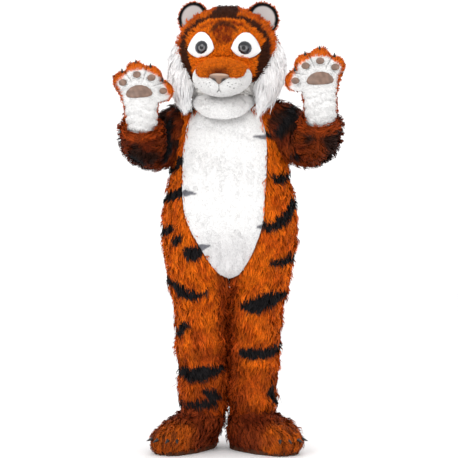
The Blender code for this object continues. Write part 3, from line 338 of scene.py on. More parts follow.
def cloudy(points, size, seed, depth=1.0):
    """Soft random patches of this size in metres, from 0 to 1."""
    dice = np.random.default_rng(seed)
    total = np.zeros(len(points))
    for _ in range(7):
        along = unit(dice.normal(size=3)) * 2.0 * np.pi / (size * dice.uniform(0.6, 1.8))
        total += np.sin(points @ along + dice.uniform(0.0, 6.3))
    return capped(0.5 + depth * total / 6.0)


def leg_folds(points):
    """Soft folds where the legs of the suit hang slack, from -1 in a valley to 1 on a ridge."""
    x, y, height = over_floor(points).T
    bend = 1.5 * np.sin(13.0 * x + 9.0 * y) + 3.0 * cloudy(points, 0.3, 7)
    return np.sin(46.0 * height + bend) * eased((0.60 - height) / 0.14)


def suit_tint(side, points):
    """Orange with rusty patches, darker down the legs, and black on the stripes, with painted shade and light.
    """
    x, _, height = over_floor(points).T
    # Painted shade between the legs, below the crotch.
    shade_between_legs = eased((0.075 - abs(x - PARTING)) / 0.05) * eased((0.84 - height) / 0.08)
    colour = layered(
        ORANGE, (DEEP_ORANGE, cloudy(points, 0.05, 3, 1.3) * 0.75),
        (RUST, eased((0.80 - height) / 0.6) * cloudy(points, 0.11, 5, 1.4) * 0.75), (RUST, 0.8 * shade_between_legs),
        (SHIN_ORANGE, 0.4 * eased((0.42 - height) / 0.2)))
    # Painted light on the ridges of the leg folds, and painted shade in their valleys.
    colour = colour * (1.0 + 0.22 * leg_folds(points))[:, None]
    return layered(colour, (BLACK, suit_stripes(side, points)))


def alone(piece):
    bpy.ops.object.select_all(action="DESELECT")
    piece.select_set(True)
    bpy.context.view_layer.objects.active = piece


def copy_of(node, name):
    """The node's wall as clean quads, ready to be shaped."""
    source = frame["nodes"][node]
    piece = bpy.data.objects.new(name, source.data.copy())
    scene.collection.objects.link(piece)
    piece.data.materials.clear()
    alone(piece)
    bpy.ops.object.mode_set(mode="EDIT")
    bpy.ops.mesh.select_all(action="SELECT")
    bpy.ops.mesh.remove_doubles(threshold=1e-5)
    bpy.ops.mesh.tris_convert_to_quads(face_threshold=math.radians(35), shape_threshold=math.radians(60))
    bpy.ops.object.mode_set(mode="OBJECT")
    return piece


def faces_of(mesh):
    """Middles, normals and areas of a mesh's faces."""
    count = len(mesh.polygons)
    middles, normals, areas = np.empty(count * 3), np.empty(count * 3), np.empty(count)
    mesh.polygons.foreach_get("center", middles)
    mesh.polygons.foreach_get("normal", normals)
    mesh.polygons.foreach_get("area", areas)
    return middles.reshape(-1, 3), normals.reshape(-1, 3), areas


def points_of(mesh):
    places = np.empty(len(mesh.vertices) * 3)
    mesh.vertices.foreach_get("co", places)
    return places.reshape(-1, 3)


def normals_of(mesh):
    return np.array([vertex.normal for vertex in mesh.vertices])


def place_points(mesh, places):
    mesh.vertices.foreach_set("co", places.ravel())
    mesh.update()


HOLLOWS = {opening["name"]: np.array(opening["box_m"]) for opening in frame["record"]["physics"]["openings"]}


def outer_faces(mesh, hollows, least=0.25):
    """Which faces look away from the nearest of the hollows."""
    middles, normals, _ = faces_of(mesh)
    if not hollows:
        return np.ones(len(middles), bool)
    boxes = np.array([HOLLOWS[name] for name in hollows])
    nearest = np.clip(middles[:, None], boxes[None, :, 0], boxes[None, :, 1])
    off = middles[:, None] - nearest
    best = np.linalg.norm(off, axis=2).argmin(1)
    away = unit(off[np.arange(len(middles)), best])
    return (away * normals).sum(1) > least


def backing_of(node, hollows, sunk=PILE_SUNK, levels=2, name=None, crease=50.0):
    """The wall without its pile: thinned from outside, its sharp rims kept, and smoothed."""
    piece = copy_of(node, name or node + "_backing")
    mesh = piece.data
    outer = outer_faces(mesh, hollows)
    _, normals, areas = faces_of(mesh)
    out = np.zeros((len(mesh.vertices), 3))
    for polygon in mesh.polygons:
        if outer[polygon.index]:
            for vertex in polygon.vertices:
                out[vertex] += normals[polygon.index] * areas[polygon.index]
    place_points(mesh, points_of(mesh) - unit(out) * sunk)
    shaped = bmesh.new()
    shaped.from_mesh(mesh)
    creases = shaped.edges.layers.float.new("crease_edge")
    for edge in shaped.edges:
        if edge.is_manifold and edge.calc_face_angle(0.0) > math.radians(crease):
            edge[creases] = 1.0
    shaped.to_mesh(mesh)
    shaped.free()
    smooth = piece.modifiers.new("smooth", "SUBSURF")
    smooth.levels = levels
    alone(piece)
    bpy.ops.object.modifier_apply(modifier=smooth.name)
    bpy.ops.object.shade_smooth_by_angle(angle=math.radians(45))
    return piece


def paint(mesh, colours):
    layer = mesh.color_attributes.get("tint") or mesh.color_attributes.new("tint", "FLOAT_COLOR", "POINT")
    layer.data.foreach_set("color", np.hstack([colours, np.ones((len(colours), 1))]).astype(np.float32).ravel())


coat_corners, coat_faces = [], []
for part in (frame["nodes"][name].data for name in COAT_NODES):
    coat_faces += [tuple(i + len(coat_corners) for i in face.vertices) for face in part.polygons]
    coat_corners += [tuple(vertex.co) for vertex in part.vertices]
COAT = BVHTree.FromPolygons(coat_corners, coat_faces)

# How locks differ from one another, as shares of the length or of the lay: by the tuft, then by the lock.
LONGER = (0.78, 1.15), (0.75, 1.1)
HIGHER = (0.35, 1.25), (0.6, 1.2)
STRAY_HIGHER = 2.3  # for the tufts that stand off more than the rest
TALLEST = 2.1  # most that any lock stands off
LEAST_GAP = 0.002  # between a lock and the floor, in metres
SWAYED = 13.0, 8.0  # spread of the angles of tufts and of locks, in degrees
ROLLED = 50.0  # most that a lock is rolled either way, in degrees
LOCK_OUTLINE = np.array(  # the corners of a lock's two faces in its cell of the layout
    [(0.15, 0.1), (0.85, 0.1), (0.85, 0.55), (0.15, 0.55), (0.15, 0.55), (0.85, 0.55), (0.5, 0.92)])


def on_coat(points, normals, reach=0.03):
    """The nearest places of the costume's outside, and the way that it faces there."""
    places, facing = points.copy(), normals.copy()
    for i, point in enumerate(points):
        place, normal, _, _ = COAT.find_nearest(point, reach)
        if place is not None and normal.dot(normals[i]) > -0.2:
            places[i], facing[i] = place, normal
    return places, unit(facing + 0.35 * normals)


def rooted(mesh, hollows, per_cm2, dice, keep):
    """Random roots on the outer faces, in rows from the bottom up, and the way that the backing faces there."""
    mesh.calc_loop_triangles()
    corners = np.array([t.vertices for t in mesh.loop_triangles])
    owner = np.array([t.polygon_index for t in mesh.loop_triangles])
    chosen = outer_faces(mesh, hollows)[owner]
    places, facing = points_of(mesh), normals_of(mesh)
    if keep is not None:
        chosen &= keep(places[corners].mean(1))
    corners = corners[chosen]
    a, b, c = (places[corners[:, i]] for i in range(3))
    areas = 0.5 * np.linalg.norm(np.cross(b - a, c - a), axis=1)
    count = int(areas.sum() * 1e4 * per_cm2)
    pick = np.searchsorted(np.cumsum(areas), dice.uniform(0.0, areas.sum(), count)).clip(0, len(areas) - 1)
    u, v = dice.uniform(size=(2, count))
    u, v = np.where(u + v > 1.0, 1.0 - u, u)[:, None], np.where(u + v > 1.0, 1.0 - v, v)[:, None]
    roots = a[pick] + (b - a)[pick] * u + (c - a)[pick] * v
    flat = unit(np.cross(b - a, c - a))[pick]
    normals = facing[corners[pick]].mean(1)
    normals = unit(np.where((normals * flat).sum(1)[:, None] > 0.3, normals, flat))
    row = max(1, round(math.sqrt(count)))
    order = np.argsort(roots[:, 2], kind="stable")
    for start in range(0, count, row):
        part = order[start:start + row]
        order[start:start + row] = part[np.argsort(roots[part, 0] + roots[part, 1], kind="stable")]
    return roots[order], normals[order]


def mesh_of_locks(name, corners, colours):
    """Locks of a square and a triangle each, from their five corners, laid out in rows for the bake."""
    count = len(corners)
    fur = bpy.data.meshes.new(name)
    step = 5 * np.arange(count)[:, None]
    fur.vertices.add(5 * count)
    fur.vertices.foreach_set("co", corners.ravel())
    fur.loops.add(7 * count)
    fur.loops.foreach_set("vertex_index", np.hstack([step + (0, 1, 3, 2), step + (2, 3, 4)]).ravel())
    fur.polygons.add(2 * count)
    fur.polygons.foreach_set("loop_start", (7 * np.arange(count)[:, None] + (0, 4)).ravel())
    fur.update(calc_edges=True)
    fur.polygons.foreach_set("use_smooth", np.ones(2 * count, bool))
    paint(fur, capped(colours).reshape(-1, 3))
    row = max(1, round(math.sqrt(count)))
    cells = np.stack([np.arange(count) % row, np.arange(count) // row], 1)[:, None]
    places = (cells + LOCK_OUTLINE) * min(1.0 / math.ceil(math.sqrt(count)), 1.0 / (row + 1))
    fur.uv_layers.new(name="OFBake").data.foreach_set("uv", places.astype(np.float32).ravel())
    piece = bpy.data.objects.new(name, fur)
    scene.collection.objects.link(piece)
    return piece


def pile(name, backing, hollows, per_cm2, length, width, flow, lay, tint, seed, tuft=0.013, keep=None,
         shades=(0.36, 0.93, 1.28), vary=0.22, gathered=(0.25, 0.6), sway=1.0, stray=0.12, drift=0.5,
         cling=True):
    """Long fur as tapering bent locks, gathered into tufts, with their roots in the backing.

    Some tufts, of this stray share, stand off more than the rest. A lock takes its colour from as far along it
    as the drift says, and it lies on the costume where it clings.
    """
    dice = np.random.default_rng(seed)
    roots, normals = rooted(backing.data, hollows, per_cm2, dice, keep)
    count = len(roots)
    cells = np.floor((roots + dice.normal(scale=0.25 * tuft, size=(count, 3))) / tuft).astype(int)
    member = np.unique(cells, axis=0, return_inverse=True)[1].ravel()
    tufts = member.max() + 1
    size = np.bincount(member, minlength=tufts)[:, None]

    def per_tuft(values):
        total = np.stack([np.bincount(member, values[:, i], minlength=tufts) for i in range(3)], 1)
        return (total / size)[member]

    def varied(by_tuft, by_lock):
        return dice.uniform(*by_tuft, tufts)[member] * dice.uniform(*by_lock, count)

    def column(values):
        return np.broadcast_to(values, count)[:, None]

    way = flow(roots, normals)
    way = unit(way - normals * (way * normals).sum(1)[:, None])
    aside = dice.normal(scale=SWAYED[0], size=tufts)[member] + dice.normal(scale=SWAYED[1], size=count)
    aside = sway * np.radians(aside)[:, None]
    way = way * np.cos(aside) + np.cross(normals, way) * np.sin(aside)
    long = column(varied(*LONGER)) * column(length(roots) if callable(length) else length)
    rise = varied(*HIGHER)
    rise = np.minimum(rise * np.where(dice.uniform(size=tufts) < stray, STRAY_HIGHER, 1.0)[member], TALLEST)
    rise = column(rise) * column(lay(roots) if callable(lay) else lay)
    middle, out = roots + way * long * 0.5, normals
    if cling:
        middle, out = on_coat(middle, normals)
    bend = unit(way - out * (way * out).sum(1)[:, None])
    tip, tip_out = middle + bend * long * 0.5, out
    if cling:
        tip, tip_out = on_coat(tip, out)
    dyed = tint(roots + (tip - roots) * drift)
    middle = middle + out * rise
    tip = tip + tip_out * rise * dice.uniform(0.2, 1.3, count)[:, None]
    gather = dice.uniform(*gathered, count)[:, None]
    tip = tip * (1.0 - gather) + per_tuft(tip) * gather
    middle = middle * (1.0 - 0.45 * gather) + per_tuft(middle) * 0.45 * gather
    root = roots - normals * 0.001
    across = unit(np.cross(middle - root, normals))
    roll = np.radians(dice.uniform(-ROLLED, ROLLED, count))[:, None]
    across = across * np.cos(roll) + np.cross(unit(middle - root), across) * np.sin(roll)
    half = across * 0.5 * width * dice.uniform(0.6, 1.3, count)[:, None]
    corners = np.stack([root - half, root + half, middle - 0.8 * half, middle + 0.8 * half, tip], 1)
    corners[:, :, 2] = np.maximum(corners[:, :, 2], FLOOR + LEAST_GAP)
    colour = dyed * dice.uniform(1.0 - vary, 1.0 + vary, (2, count)).prod(0)[:, None]
    colour = colour * dice.uniform(1.0 - vary, 1.0 + vary, tufts)[member][:, None]
    # Each lock is painted darker at the root, as shade deep in the pile, and lighter at the tip, as light on
    # the tips.
    return mesh_of_locks(name, corners, np.stack([colour * shades[i] for i in (0, 0, 1, 1, 2)], 1))


def pile_finish(name, dark, light, **constants):
    """Acrylic fibre: the colour of each lock, a little streaked, with a soft shine."""
    finish = Finish(name, Roughness=0.6, Specular_IOR_Level=0.07, **constants)
    streak = finish.grain(260.0, 3.0, 0.6)
    return finish.wear(Base_Color=finish.tinted(finish.mixed(streak.held(0.25, 0.75), dark, light)))


def backing_finish(name):
    """Knitted backing between the locks: matted fibre grain on colours painted darker as shade under the pile.
    """
    finish = Finish(name, Roughness=0.9, Specular_IOR_Level=0.15)
    matted = finish.grain(220.0, 4.0, 0.7, stretch=(1.0, 1.0, 0.35))
    worn = finish.mixed(matted, (0.35, 0.33, 0.32), (1.0, 0.96, 0.92))
    return finish.wear(Base_Color=finish.tinted(worn), Normal=finish.raised(matted, 0.0015))


FUR = pile_finish("long_pile", (0.74, 0.72, 0.70), (1.22, 1.20, 1.16))
MATTED = backing_finish("matted_backing")
SUIT_HOLLOWS = ["neck", "chest", "waist", "hips"] + [
    f"{side}_{part}" for part in ("thigh", "shin", "ankle") for side in SIDES]


def moved_out(mesh, hollows, amount):
    """Moves the outer skin in or out, by an amount worked out from its points and normals."""
    skin = np.zeros(len(mesh.vertices), bool)
    for i in np.flatnonzero(outer_faces(mesh, hollows, 0.1)):
        skin[list(mesh.polygons[int(i)].vertices)] = True
    normals, places = normals_of(mesh), points_of(mesh)
    place_points(mesh, places + normals * (skin * amount(places, normals))[:, None])


def coated(node, slot, hollows, tint, flat=None, held="hung", rests_on=(), area=None, under=0.6,
           finish=MATTED, fibre=FUR, sunk=PILE_SUNK, levels=2, moved=None, **locks):
    """A panel of fur cloth: its backing, with its skin moved, and its pile, for the node."""
    backing = backing_of(node, hollows, sunk, levels)
    if moved is not None:
        moved_out(backing.data, hollows, moved)
    # The backing is painted darker than its pile by the under share, as shade beneath the locks.
    paint(backing.data, under * tint(points_of(backing.data)))
    backing.data.materials.append(finish)
    fur = pile(node + "_pile", backing, hollows, tint=tint, **locks)
    fur.data.materials.append(fibre)
    for piece in (backing, fur):
        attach(piece, "costume")
    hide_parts(node)


def downwards(points, normals):
    """The pile of the suit lies down, parted from the middle on the body and brushed towards it on the legs."""
    x, _, z = points.T
    way = np.tile((0.0, 0.0, -1.0), (len(points), 1))
    aside = np.interp(z, [-0.60, -0.50], [-0.15, 0.22])
    way[:, 0] += aside * np.sign(x - PARTING) * eased(1.0 - abs(normals[:, 0]))
    return way


def suit_lay(points):
    """Fuller between the legs, where the two piles meet."""
    x, _, z = points.T
    between = bell(x + 0.004, 0.035) * eased((-0.52 - z) / 0.05)
    return 0.010 * (1.0 + 0.55 * leg_folds(points)) + 0.013 * between


def suit_length(points):
    """Left longer at the hem, where it hangs over the boots."""
    return np.interp(points[:, 2], [-1.29, -1.20], [0.070, 0.048])


for i, (face, side) in enumerate((face, side) for face in ("front", "back") for side in SIDES):
    front = face == "front"
    coated(
        f"{face}_{side}", "orange_fur", SUIT_HOLLOWS, partial(suit_tint, side), rests_on=["wearer"],
        flat=(0.42, 1.34) if front else (0.46, 1.36), area=0.31 if front else 0.40, levels=1,
        per_cm2=6.8 if front else 4.2, length=suit_length, width=0.0037 if front else 0.0044, flow=downwards,
        lay=suit_lay, tuft=0.015, gathered=(0.35, 0.8), stray=0.2, seed=11 + i,
    )

# ---------------------------------------------------------------- sleeves
# Tubes of darker, mahogany fur, sewn into the armholes and bent at the elbow, with the pile combed towards the
# wrist. Blackish patches run through it, and an orange edge shows where each sleeve meets its mitt.

MAHOGANY = (0.130, 0.018, 0.004)
DARK_BROWN = (0.028, 0.010, 0.006)
WARM_BROWN = (0.22, 0.036, 0.005)
ARM_LINES = {  # from the armhole over the elbow to the wrist
    "left": [(0.112, -0.026, -0.074), (0.226, -0.050, -0.070), (0.368, -0.098, -0.252),
             (0.360, -0.225, -0.068)],
    "right": [(-0.112, 0.026, -0.074), (-0.224, 0.046, -0.070), (-0.366, -0.010, -0.252),
              (-0.364, -0.130, -0.085)],
}
ARM_PATCHES = {  # x, y, height and half width in mm
    "left": [
        [(201, -135, 1314, 22), (222, -132, 1345, 22), (247, -122, 1377, 24), (262, -60, 1420, 16)],
        [(262, -120, 1250, 8), (278, -168, 1210, 17), (296, -170, 1166, 12)],
        [(440, -150, 1300, 9), (452, -120, 1250, 15), (430, -60, 1215, 8)],
    ],
    "right": [
        [(-205, -20, 1436, 22), (-240, -42, 1390, 20), (-262, -60, 1330, 28), (-270, -72, 1270, 30),
         (-282, -70, 1220, 22)],
        [(-440, -40, 1390, 10), (-452, -60, 1340, 16), (-446, -80, 1300, 8)],
        [(-416, -100, 1226, 16), (-380, -96, 1206, 24), (-340, -80, 1200, 10)],
    ],
}


def along_arm(side, points):
    """Distance from the wrist, and the way to it."""
    line = np.array(ARM_LINES[side])
    best, along, way = np.full(len(points), np.inf), np.zeros(len(points)), np.zeros((len(points), 3))
    lengths = np.linalg.norm(np.diff(line, axis=0), axis=1)
    for i, (start, end) in enumerate(zip(line, line[1:])):
        step = end - start
        share = capped((points - start) @ step / (step @ step))
        off = np.linalg.norm(points - start - share[:, None] * step, axis=1)
        nearer = off < best
        best = np.where(nearer, off, best)
        along = np.where(nearer, lengths[i:].sum() - share * lengths[i], along)
        way[nearer] = unit(step)
    return along, way


def sleeve_tint(side, points):
    along, _ = along_arm(side, points)
    return layered(
        MAHOGANY, (WARM_BROWN, cloudy(points, 0.07, 21, 1.5) * 0.8),
        (DARK_BROWN, eased(1.7 * cloudy(points, 0.10, 22, 1.6) - 0.75)),
        (BLACK, near_strokes(in_mm(points), ARM_PATCHES[side], 16.0)),
        (DEEP_ORANGE, eased((0.040 - along) / 0.02) * 0.5))


def sleeve_way(side, points, normals):
    return 0.75 * along_arm(side, points)[1] + (0.0, 0.0, -0.75) + 0.25 * normals


for i, side in enumerate(SIDES):
    hollows = [f"{side}_{part}" for part in ("upper_arm", "elbow", "forearm", "gauntlet")]
    coated(
        f"sleeve_{side}", "dark_fur", hollows, partial(sleeve_tint, side), flat=(0.56, 0.56), area=0.20,
        rests_on=["wearer"], levels=1, per_cm2=7.2, length=0.050, width=0.0035, flow=partial(sleeve_way, side),
        lay=0.011, stray=0.25, seed=21 + i,
    )

# ---------------------------------------------------------------- white plush front
# A long oval of short, brushed plush let into the fronts from the neck to the crotch. The inner ends of the
# body's stripes are brushed onto it in grey, and it hangs in faint vertical rolls towards its lower end.

WHITE = (0.82, 0.812, 0.805)
WORN_WHITE = (0.80, 0.80, 0.80)
BELLY_LOW_SHADE = (0.62, 0.605, 0.61)
GREY_TIP = (0.16, 0.16, 0.18)
BELLY_TIPS = [  # x, height and half width in mm, seen from the front
    [(-185, 1064, 13), (-168, 1064, 10), (-142, 1061, 3)],
    [(-128, 836, 17), (-112, 842, 12), (-84, 848, 3)],
    [(196, 1298, 16), (172, 1300, 13), (140, 1294, 9), (98, 1293, 3)],
    [(176, 1128, 14), (164, 1132, 10), (146, 1136, 3)],
    [(156, 926, 17), (142, 926, 13), (112, 924, 3)],
]


def plush_finish(name):
    """Short brushed pile: fine flecks, faint lines where it was stroked, and a soft bloom at the edges."""
    finish = Finish(name, Roughness=0.85, Specular_IOR_Level=0.2, Sheen_Weight=0.35, Sheen_Roughness=0.5)
    fleck = finish.grain(900.0, 2.0, 0.6)
    stroked = finish.grain(60.0, 4.0, 0.6, stretch=(1.0, 1.0, 2.2))
    shade = finish.mixed(fleck * 0.6 + stroked * 0.4, (0.95, 0.948, 0.945), (1.03, 1.03, 1.03))
    bump = finish.raised(fleck, 0.0006, finish.raised(stroked, 0.0009))
    return finish.wear(Base_Color=finish.tinted(shade), Normal=bump)


PLUSH = plush_finish("white_plush")
WHITE_FIBRE = pile_finish("white_fibre", (0.94, 0.94, 0.945), (1.04, 1.04, 1.04), Sheen_Weight=0.1)
NAP = {"under": 1.0, "finish": PLUSH, "fibre": WHITE_FIBRE, "sunk": 0.0015, "shades": (0.95, 1.0, 1.02),
       "vary": 0.025, "width": 0.0018, "length": 0.0075, "lay": 0.0017, "tuft": 0.005, "gathered": (0.0, 0.3),
       "sway": 1.6, "stray": 0.0}


def plushed(node, hollows, tint, **locks):
    """A panel of white plush with a short nap."""
    coated(node, "white_plush", hollows, tint, **{**NAP, **locks})


def belly_tint(points):
    mm = in_mm(points)[:, [0, 2]]
    return layered(
        WHITE, (WORN_WHITE, cloudy(points, 0.13, 31, 1.2) * 0.35),
        # Painted shade over the lower end of the belly.
        (BELLY_LOW_SHADE, 0.75 * eased((980.0 - mm[:, 1]) / 200.0)),
        (GREY_TIP, capped(1.3 * near_strokes(mm, BELLY_TIPS, 7.0))))


def belly_rolls(points, normals):
    """How far the belly stands out in its rolls, and goes in along the middle of its lower end."""
    x, _, height = over_floor(points).T
    rolls = 0.0018 * np.sin(62.0 * x + 0.8 * np.sin(21.0 * height)) * eased((0.98 - height) / 0.22)
    middle = -0.0030 * bell(x + 0.008, 0.010) * eased((0.86 - height) / 0.12)
    slack = 0.0016 * np.sin(34.0 * height + 9.0 * x) * eased((height - 1.05) / 0.25)
    return rolls + middle + slack


plushed(
    "belly", SUIT_HOLLOWS, belly_tint, flat=(0.37, 0.77), rests_on=["front_left_backing"], area=0.215, levels=3,
    moved=belly_rolls, per_cm2=10.0, flow=downwards, seed=31, width=0.0020, lay=0.0012, sway=0.8,
)

# ---------------------------------------------------------------- zip in the centre back
# A closed nylon zip on woven tape, sewn under the edges of the two back panels. Its slider rests near the top,
# and the pull tab hangs from it on a pin.

tape_finish = Finish("zip_tape_weave", Roughness=0.8, Specular_IOR_Level=0.3)
ribs = Reading(tape_finish, tape_finish.add(
    "TexWave", {"bands_direction": "Z"}, {"Vector": tape_finish.spot, "Scale": 190.0}, 1))
weave = ribs * 0.6 + tape_finish.grain(900.0) * 0.4
tape_finish.wear(
    Base_Color=tape_finish.mixed(weave, (0.012, 0.012, 0.013), (0.045, 0.043, 0.045)),
    Normal=tape_finish.raised(ribs, 0.0003),
)
metal_finish = Finish("zip_nickel", Metallic=1.0)
rubbed = metal_finish.grain(260.0, 4.0, 0.6, stretch=(1.0, 1.0, 0.2))
metal_finish.wear(
    Base_Color=metal_finish.mixed(rubbed, (0.30, 0.30, 0.31), (0.55, 0.55, 0.56)),
    Roughness=rubbed * 0.3 + 0.25, Normal=metal_finish.raised(rubbed, 0.00008),
)


def finished(node, finish):
    """The node's own form, in this finish."""
    piece = frame["nodes"][node]
    piece.data.materials.clear()
    piece.data.materials.append(finish.material)


finished("zip_tape", tape_finish)
finished("zip_slider", metal_finish)
finished("zip_pull", metal_finish)

# ---------------------------------------------------------------- head
# Carved foam in two halves, a face and a back, covered in fur that is clipped short round the eyes and left
# long on the crown and the nape. It is combed away from the nose over the face, and straight down behind.

HEAD_MIDDLE = np.array((-0.010, 0.0, 0.220))
HEAD_TURN = np.array(Matrix.Rotation(math.radians(1.5), 3, "Y") @ Matrix.Rotation(math.radians(-6.0), 3, "Z"))
BALL = 200.0  # radius of the ball that the head's marks are laid out on, in mm
FACE_ORANGE = (0.84, 0.175, 0.004)
HEAD_BROWN = (0.016, 0.008, 0.006)
RUFF_WHITE = (0.97, 0.965, 0.96)
BROW_BROWN = (0.24, 0.032, 0.004)
ARCH_BROWN = (0.060, 0.016, 0.006)
HEAD_MARKS = [  # heading from the nose and rise in degrees, half width in mm; each is on both sides
    [(0, 80, 44), (0, 62, 46), (14, 53, 24), (30, 58, 8)],
    [(0, 46, 15), (16, 45, 16), (30, 42, 13), (43, 35, 14), (54, 25, 13), (60, 15, 12)],
    [(62, 16, 12), (60, 5, 24), (57, -8, 31), (55, -20, 30), (52, -30, 23), (49, -38, 11)],
    [(92, 22, 8), (96, 4, 11), (94, -12, 10), (88, -26, 3)],
    [(180, 60, 16), (158, 56, 14), (138, 50, 5)],
    [(180, 32, 15), (158, 28, 15), (136, 25, 12), (116, 21, 4)],
    [(180, 6, 14), (156, 1, 15), (132, 4, 12), (110, 9, 4)],
    [(180, -20, 14), (155, -25, 14), (130, -20, 5)],
    [(180, -44, 12), (156, -48, 10), (138, -44, 4)],
]
BROW_MARKS = [  # the same, as are the arch marks
    [(0, 6, 10), (0, 13, 34), (0, 21, 46), (0, 28, 34)],
    [(5, 35, 7), (15, 34, 9), (25, 31, 7), (34, 25, 3)],
]
ARCH_MARKS = [[(0, 34, 11), (6, 33, 11), (13, 28, 9), (18, 22, 5)]]


def in_head(points):
    """Places from the middle of the head, in metres, with the nose towards -Y."""
    return (points - HEAD_MIDDLE) @ HEAD_TURN


def head_mm(points):
    """Places across and in depth from the middle of the head and in height from the floor, in mm."""
    return in_mm(in_head(points) + (0.0, 0.0, HEAD_MIDDLE[2]))


def on_ball(marks):
    """Strokes as points on the ball, in mm."""
    strokes = []
    for rows in (np.array(mark, float) for mark in marks):
        fine = np.linspace(0, len(rows) - 1, 4 * len(rows) - 3)
        heading, rise, half = (np.interp(fine, range(len(rows)), column) for column in rows.T)
        heading, rise = np.radians(heading), np.radians(rise)
        for sign in (-1, 1):
            x, y = np.cos(rise) * np.sin(sign * heading), -np.cos(rise) * np.cos(sign * heading)
            strokes.append(np.stack([BALL * x, BALL * y, BALL * np.sin(rise), half], 1))
    return strokes


def head_tint(points):
    below, spots = -in_head(points)[:, 2], in_head(points)
    spots = BALL * unit(spots + 0.003 * np.sin(spots[:, [2, 0, 1]] * 140.0))
    x, y, z = spots.T
    front = eased((-y / BALL - 0.35) / 0.4)
    jaw = eased((below - 0.127) / 0.008) * eased((0.2 - y / BALL) / 0.3)
    painted_light_at_bridge = bell(z + 48.0, 22.0) * eased((130.0 - abs(x)) / 30.0) * front
    ragged = 0.55 + 0.6 * cloudy(points, 0.022, 42, 1.5)
    colour = layered(
        ORANGE, (DEEP_ORANGE, cloudy(points, 0.05, 41, 1.3) * 0.9),
        (RUST, eased((z - 70.0) / 60.0) * cloudy(points, 0.06, 43, 1.5) * 0.8), (FACE_ORANGE, front * 0.8))
    # Painted light on the face just above the bridge, where the crease would lie in shade.
    colour = capped(colour * (1.0 + 0.22 * painted_light_at_bridge)[:, None])
    for marks, dark, soft, edge, full in (
            (BROW_MARKS, BROW_BROWN, 18.0, ragged, 1.0), (ARCH_MARKS, ARCH_BROWN, 12.0, 0.3 + ragged, 0.9),
            (HEAD_MARKS, HEAD_BROWN, 12.0, 0.5 + ragged, 0.95)):
        colour = layered(colour, (dark, capped(near_strokes(spots, on_ball(marks), soft) * edge) * full))
    return layered(colour, (RUFF_WHITE, jaw))


def off_patch(spots):
    """1 on the edge of an eye patch and less inside it."""
    x, _, z = spots.T
    rise = np.where(z > -0.001, 0.069, 0.034)
    return (abs(abs(x) - 0.092) / 0.053) ** 1.5 + (abs(z + 0.001) / rise) ** 1.5


def head_length(points):
    spots = in_head(points)
    long = np.interp(-unit(spots)[:, 1], [-0.3, 0.3, 0.6, 0.8], [0.040, 0.036, 0.026, 0.010])
    return long * (1.0 - 0.5 * bell(off_patch(spots) - 1.0, 0.3) * (spots[:, 1] < 0.0))


def head_lay(points):
    spots = in_head(points)
    x, y, z = spots.T
    over_bridge = eased((0.11 - abs(x)) / 0.03) * bell(z + 0.045, 0.016) * (y < 0.0)
    near = np.interp(-unit(spots)[:, 1], [0.2, 0.6, 0.8], [0.011, 0.008, 0.0045])
    return near * (1.0 - 0.4 * eased((z - 0.12) / 0.04)) + 0.011 * over_bridge


def head_way(points, normals):
    spots = in_head(points)
    front = eased((-unit(spots)[:, 1:2] + 0.35) / 0.5)
    away = unit(spots - (0.0, -0.26, -0.105)) @ HEAD_TURN.T
    return away * front + np.array((0.0, 0.05, -1.0)) * (1.0 - front)


def bare_head(points):
    """Not under the eye patches, the muzzle or the ears."""
    spots = in_head(points)
    x, y, z = spots.T
    muzzle = np.hypot(x / 0.112, (z + 0.115) / np.where(z > -0.115, 0.078, 0.062)) < 1.0
    return (y > 0.0) | ~((off_patch(spots) < 1.0) | muzzle)


HEAD_FUR = [  # node, seed, locks per cm2, their width, the tufts' size, how far they gather, painted root shade and tip light
    ("head_face", 41, 12.0, 0.0027, 0.007, (0.1, 0.35), (0.70, 0.98, 1.12)),
    ("head_back", 42, 6.0, 0.0038, 0.010, (0.25, 0.6), (0.45, 0.95, 1.25)),
]
for node, seed, per_cm2, width, tuft, gathered, shades in HEAD_FUR:
    coated(node, "orange_fur", ["head"], head_tint, levels=1, per_cm2=per_cm2, length=head_length, width=width,
           flow=head_way, lay=head_lay, seed=seed, keep=bare_head, tuft=tuft, gathered=gathered, shades=shades,
           vary=0.12)

# ---------------------------------------------------------------- muzzle, bridge and nose
# A hollow foam cup under white plush, with a saddle of short orange fur over its top and a nose of stuffed
# brown vinyl. Whisker dots and a short mouth line are inked on the plush.

NOSE_BROWN = (0.200, 0.118, 0.080)
NOSE_LIT_TOP = (0.47, 0.325, 0.245)
NOSTRIL_AND_UNDERSIDE_SHADE = (0.014, 0.010, 0.009)
NOSE_RUST_AND_SHADOW = (0.13, 0.018, 0.004)
MUZZLE_WHITE = (0.82, 0.815, 0.81)
INK = (0.05, 0.045, 0.045)
MUZZLE_HOLLOWS = ["muzzle", "head"]
WHISKER_DOTS = [(38, 1499), (51, 1493), (64, 1499), (44, 1483), (58, 1480), (72, 1487), (84, 1497), (34, 1487)]
MOUTH = [[(0, 1494, 1.6), (0, 1472, 1.6)], [(-9, 1463, 1.2), (0, 1470, 1.6), (9, 1463, 1.2)]]


def muzzle_tint(points):
    spots = head_mm(points)
    dots = [[(sign * x, height, 1.5), (sign * x + 0.5, height, 1.5)]
            for x, height in WHISKER_DOTS for sign in (-1, 1)]
    inked = near_strokes(spots[:, [0, 2]], dots + MOUTH, 1.5) * eased((-spots[:, 1] - 190.0) / 20.0)
    return layered(WHITE, (MUZZLE_WHITE, cloudy(points, 0.06, 51, 1.2) * 0.3), (INK, inked * 0.9))


def muzzle_way(points, normals):
    return unit(in_head(points) - (0.0, -0.30, -0.125)) @ HEAD_TURN.T + (0.0, 0.0, -0.25)


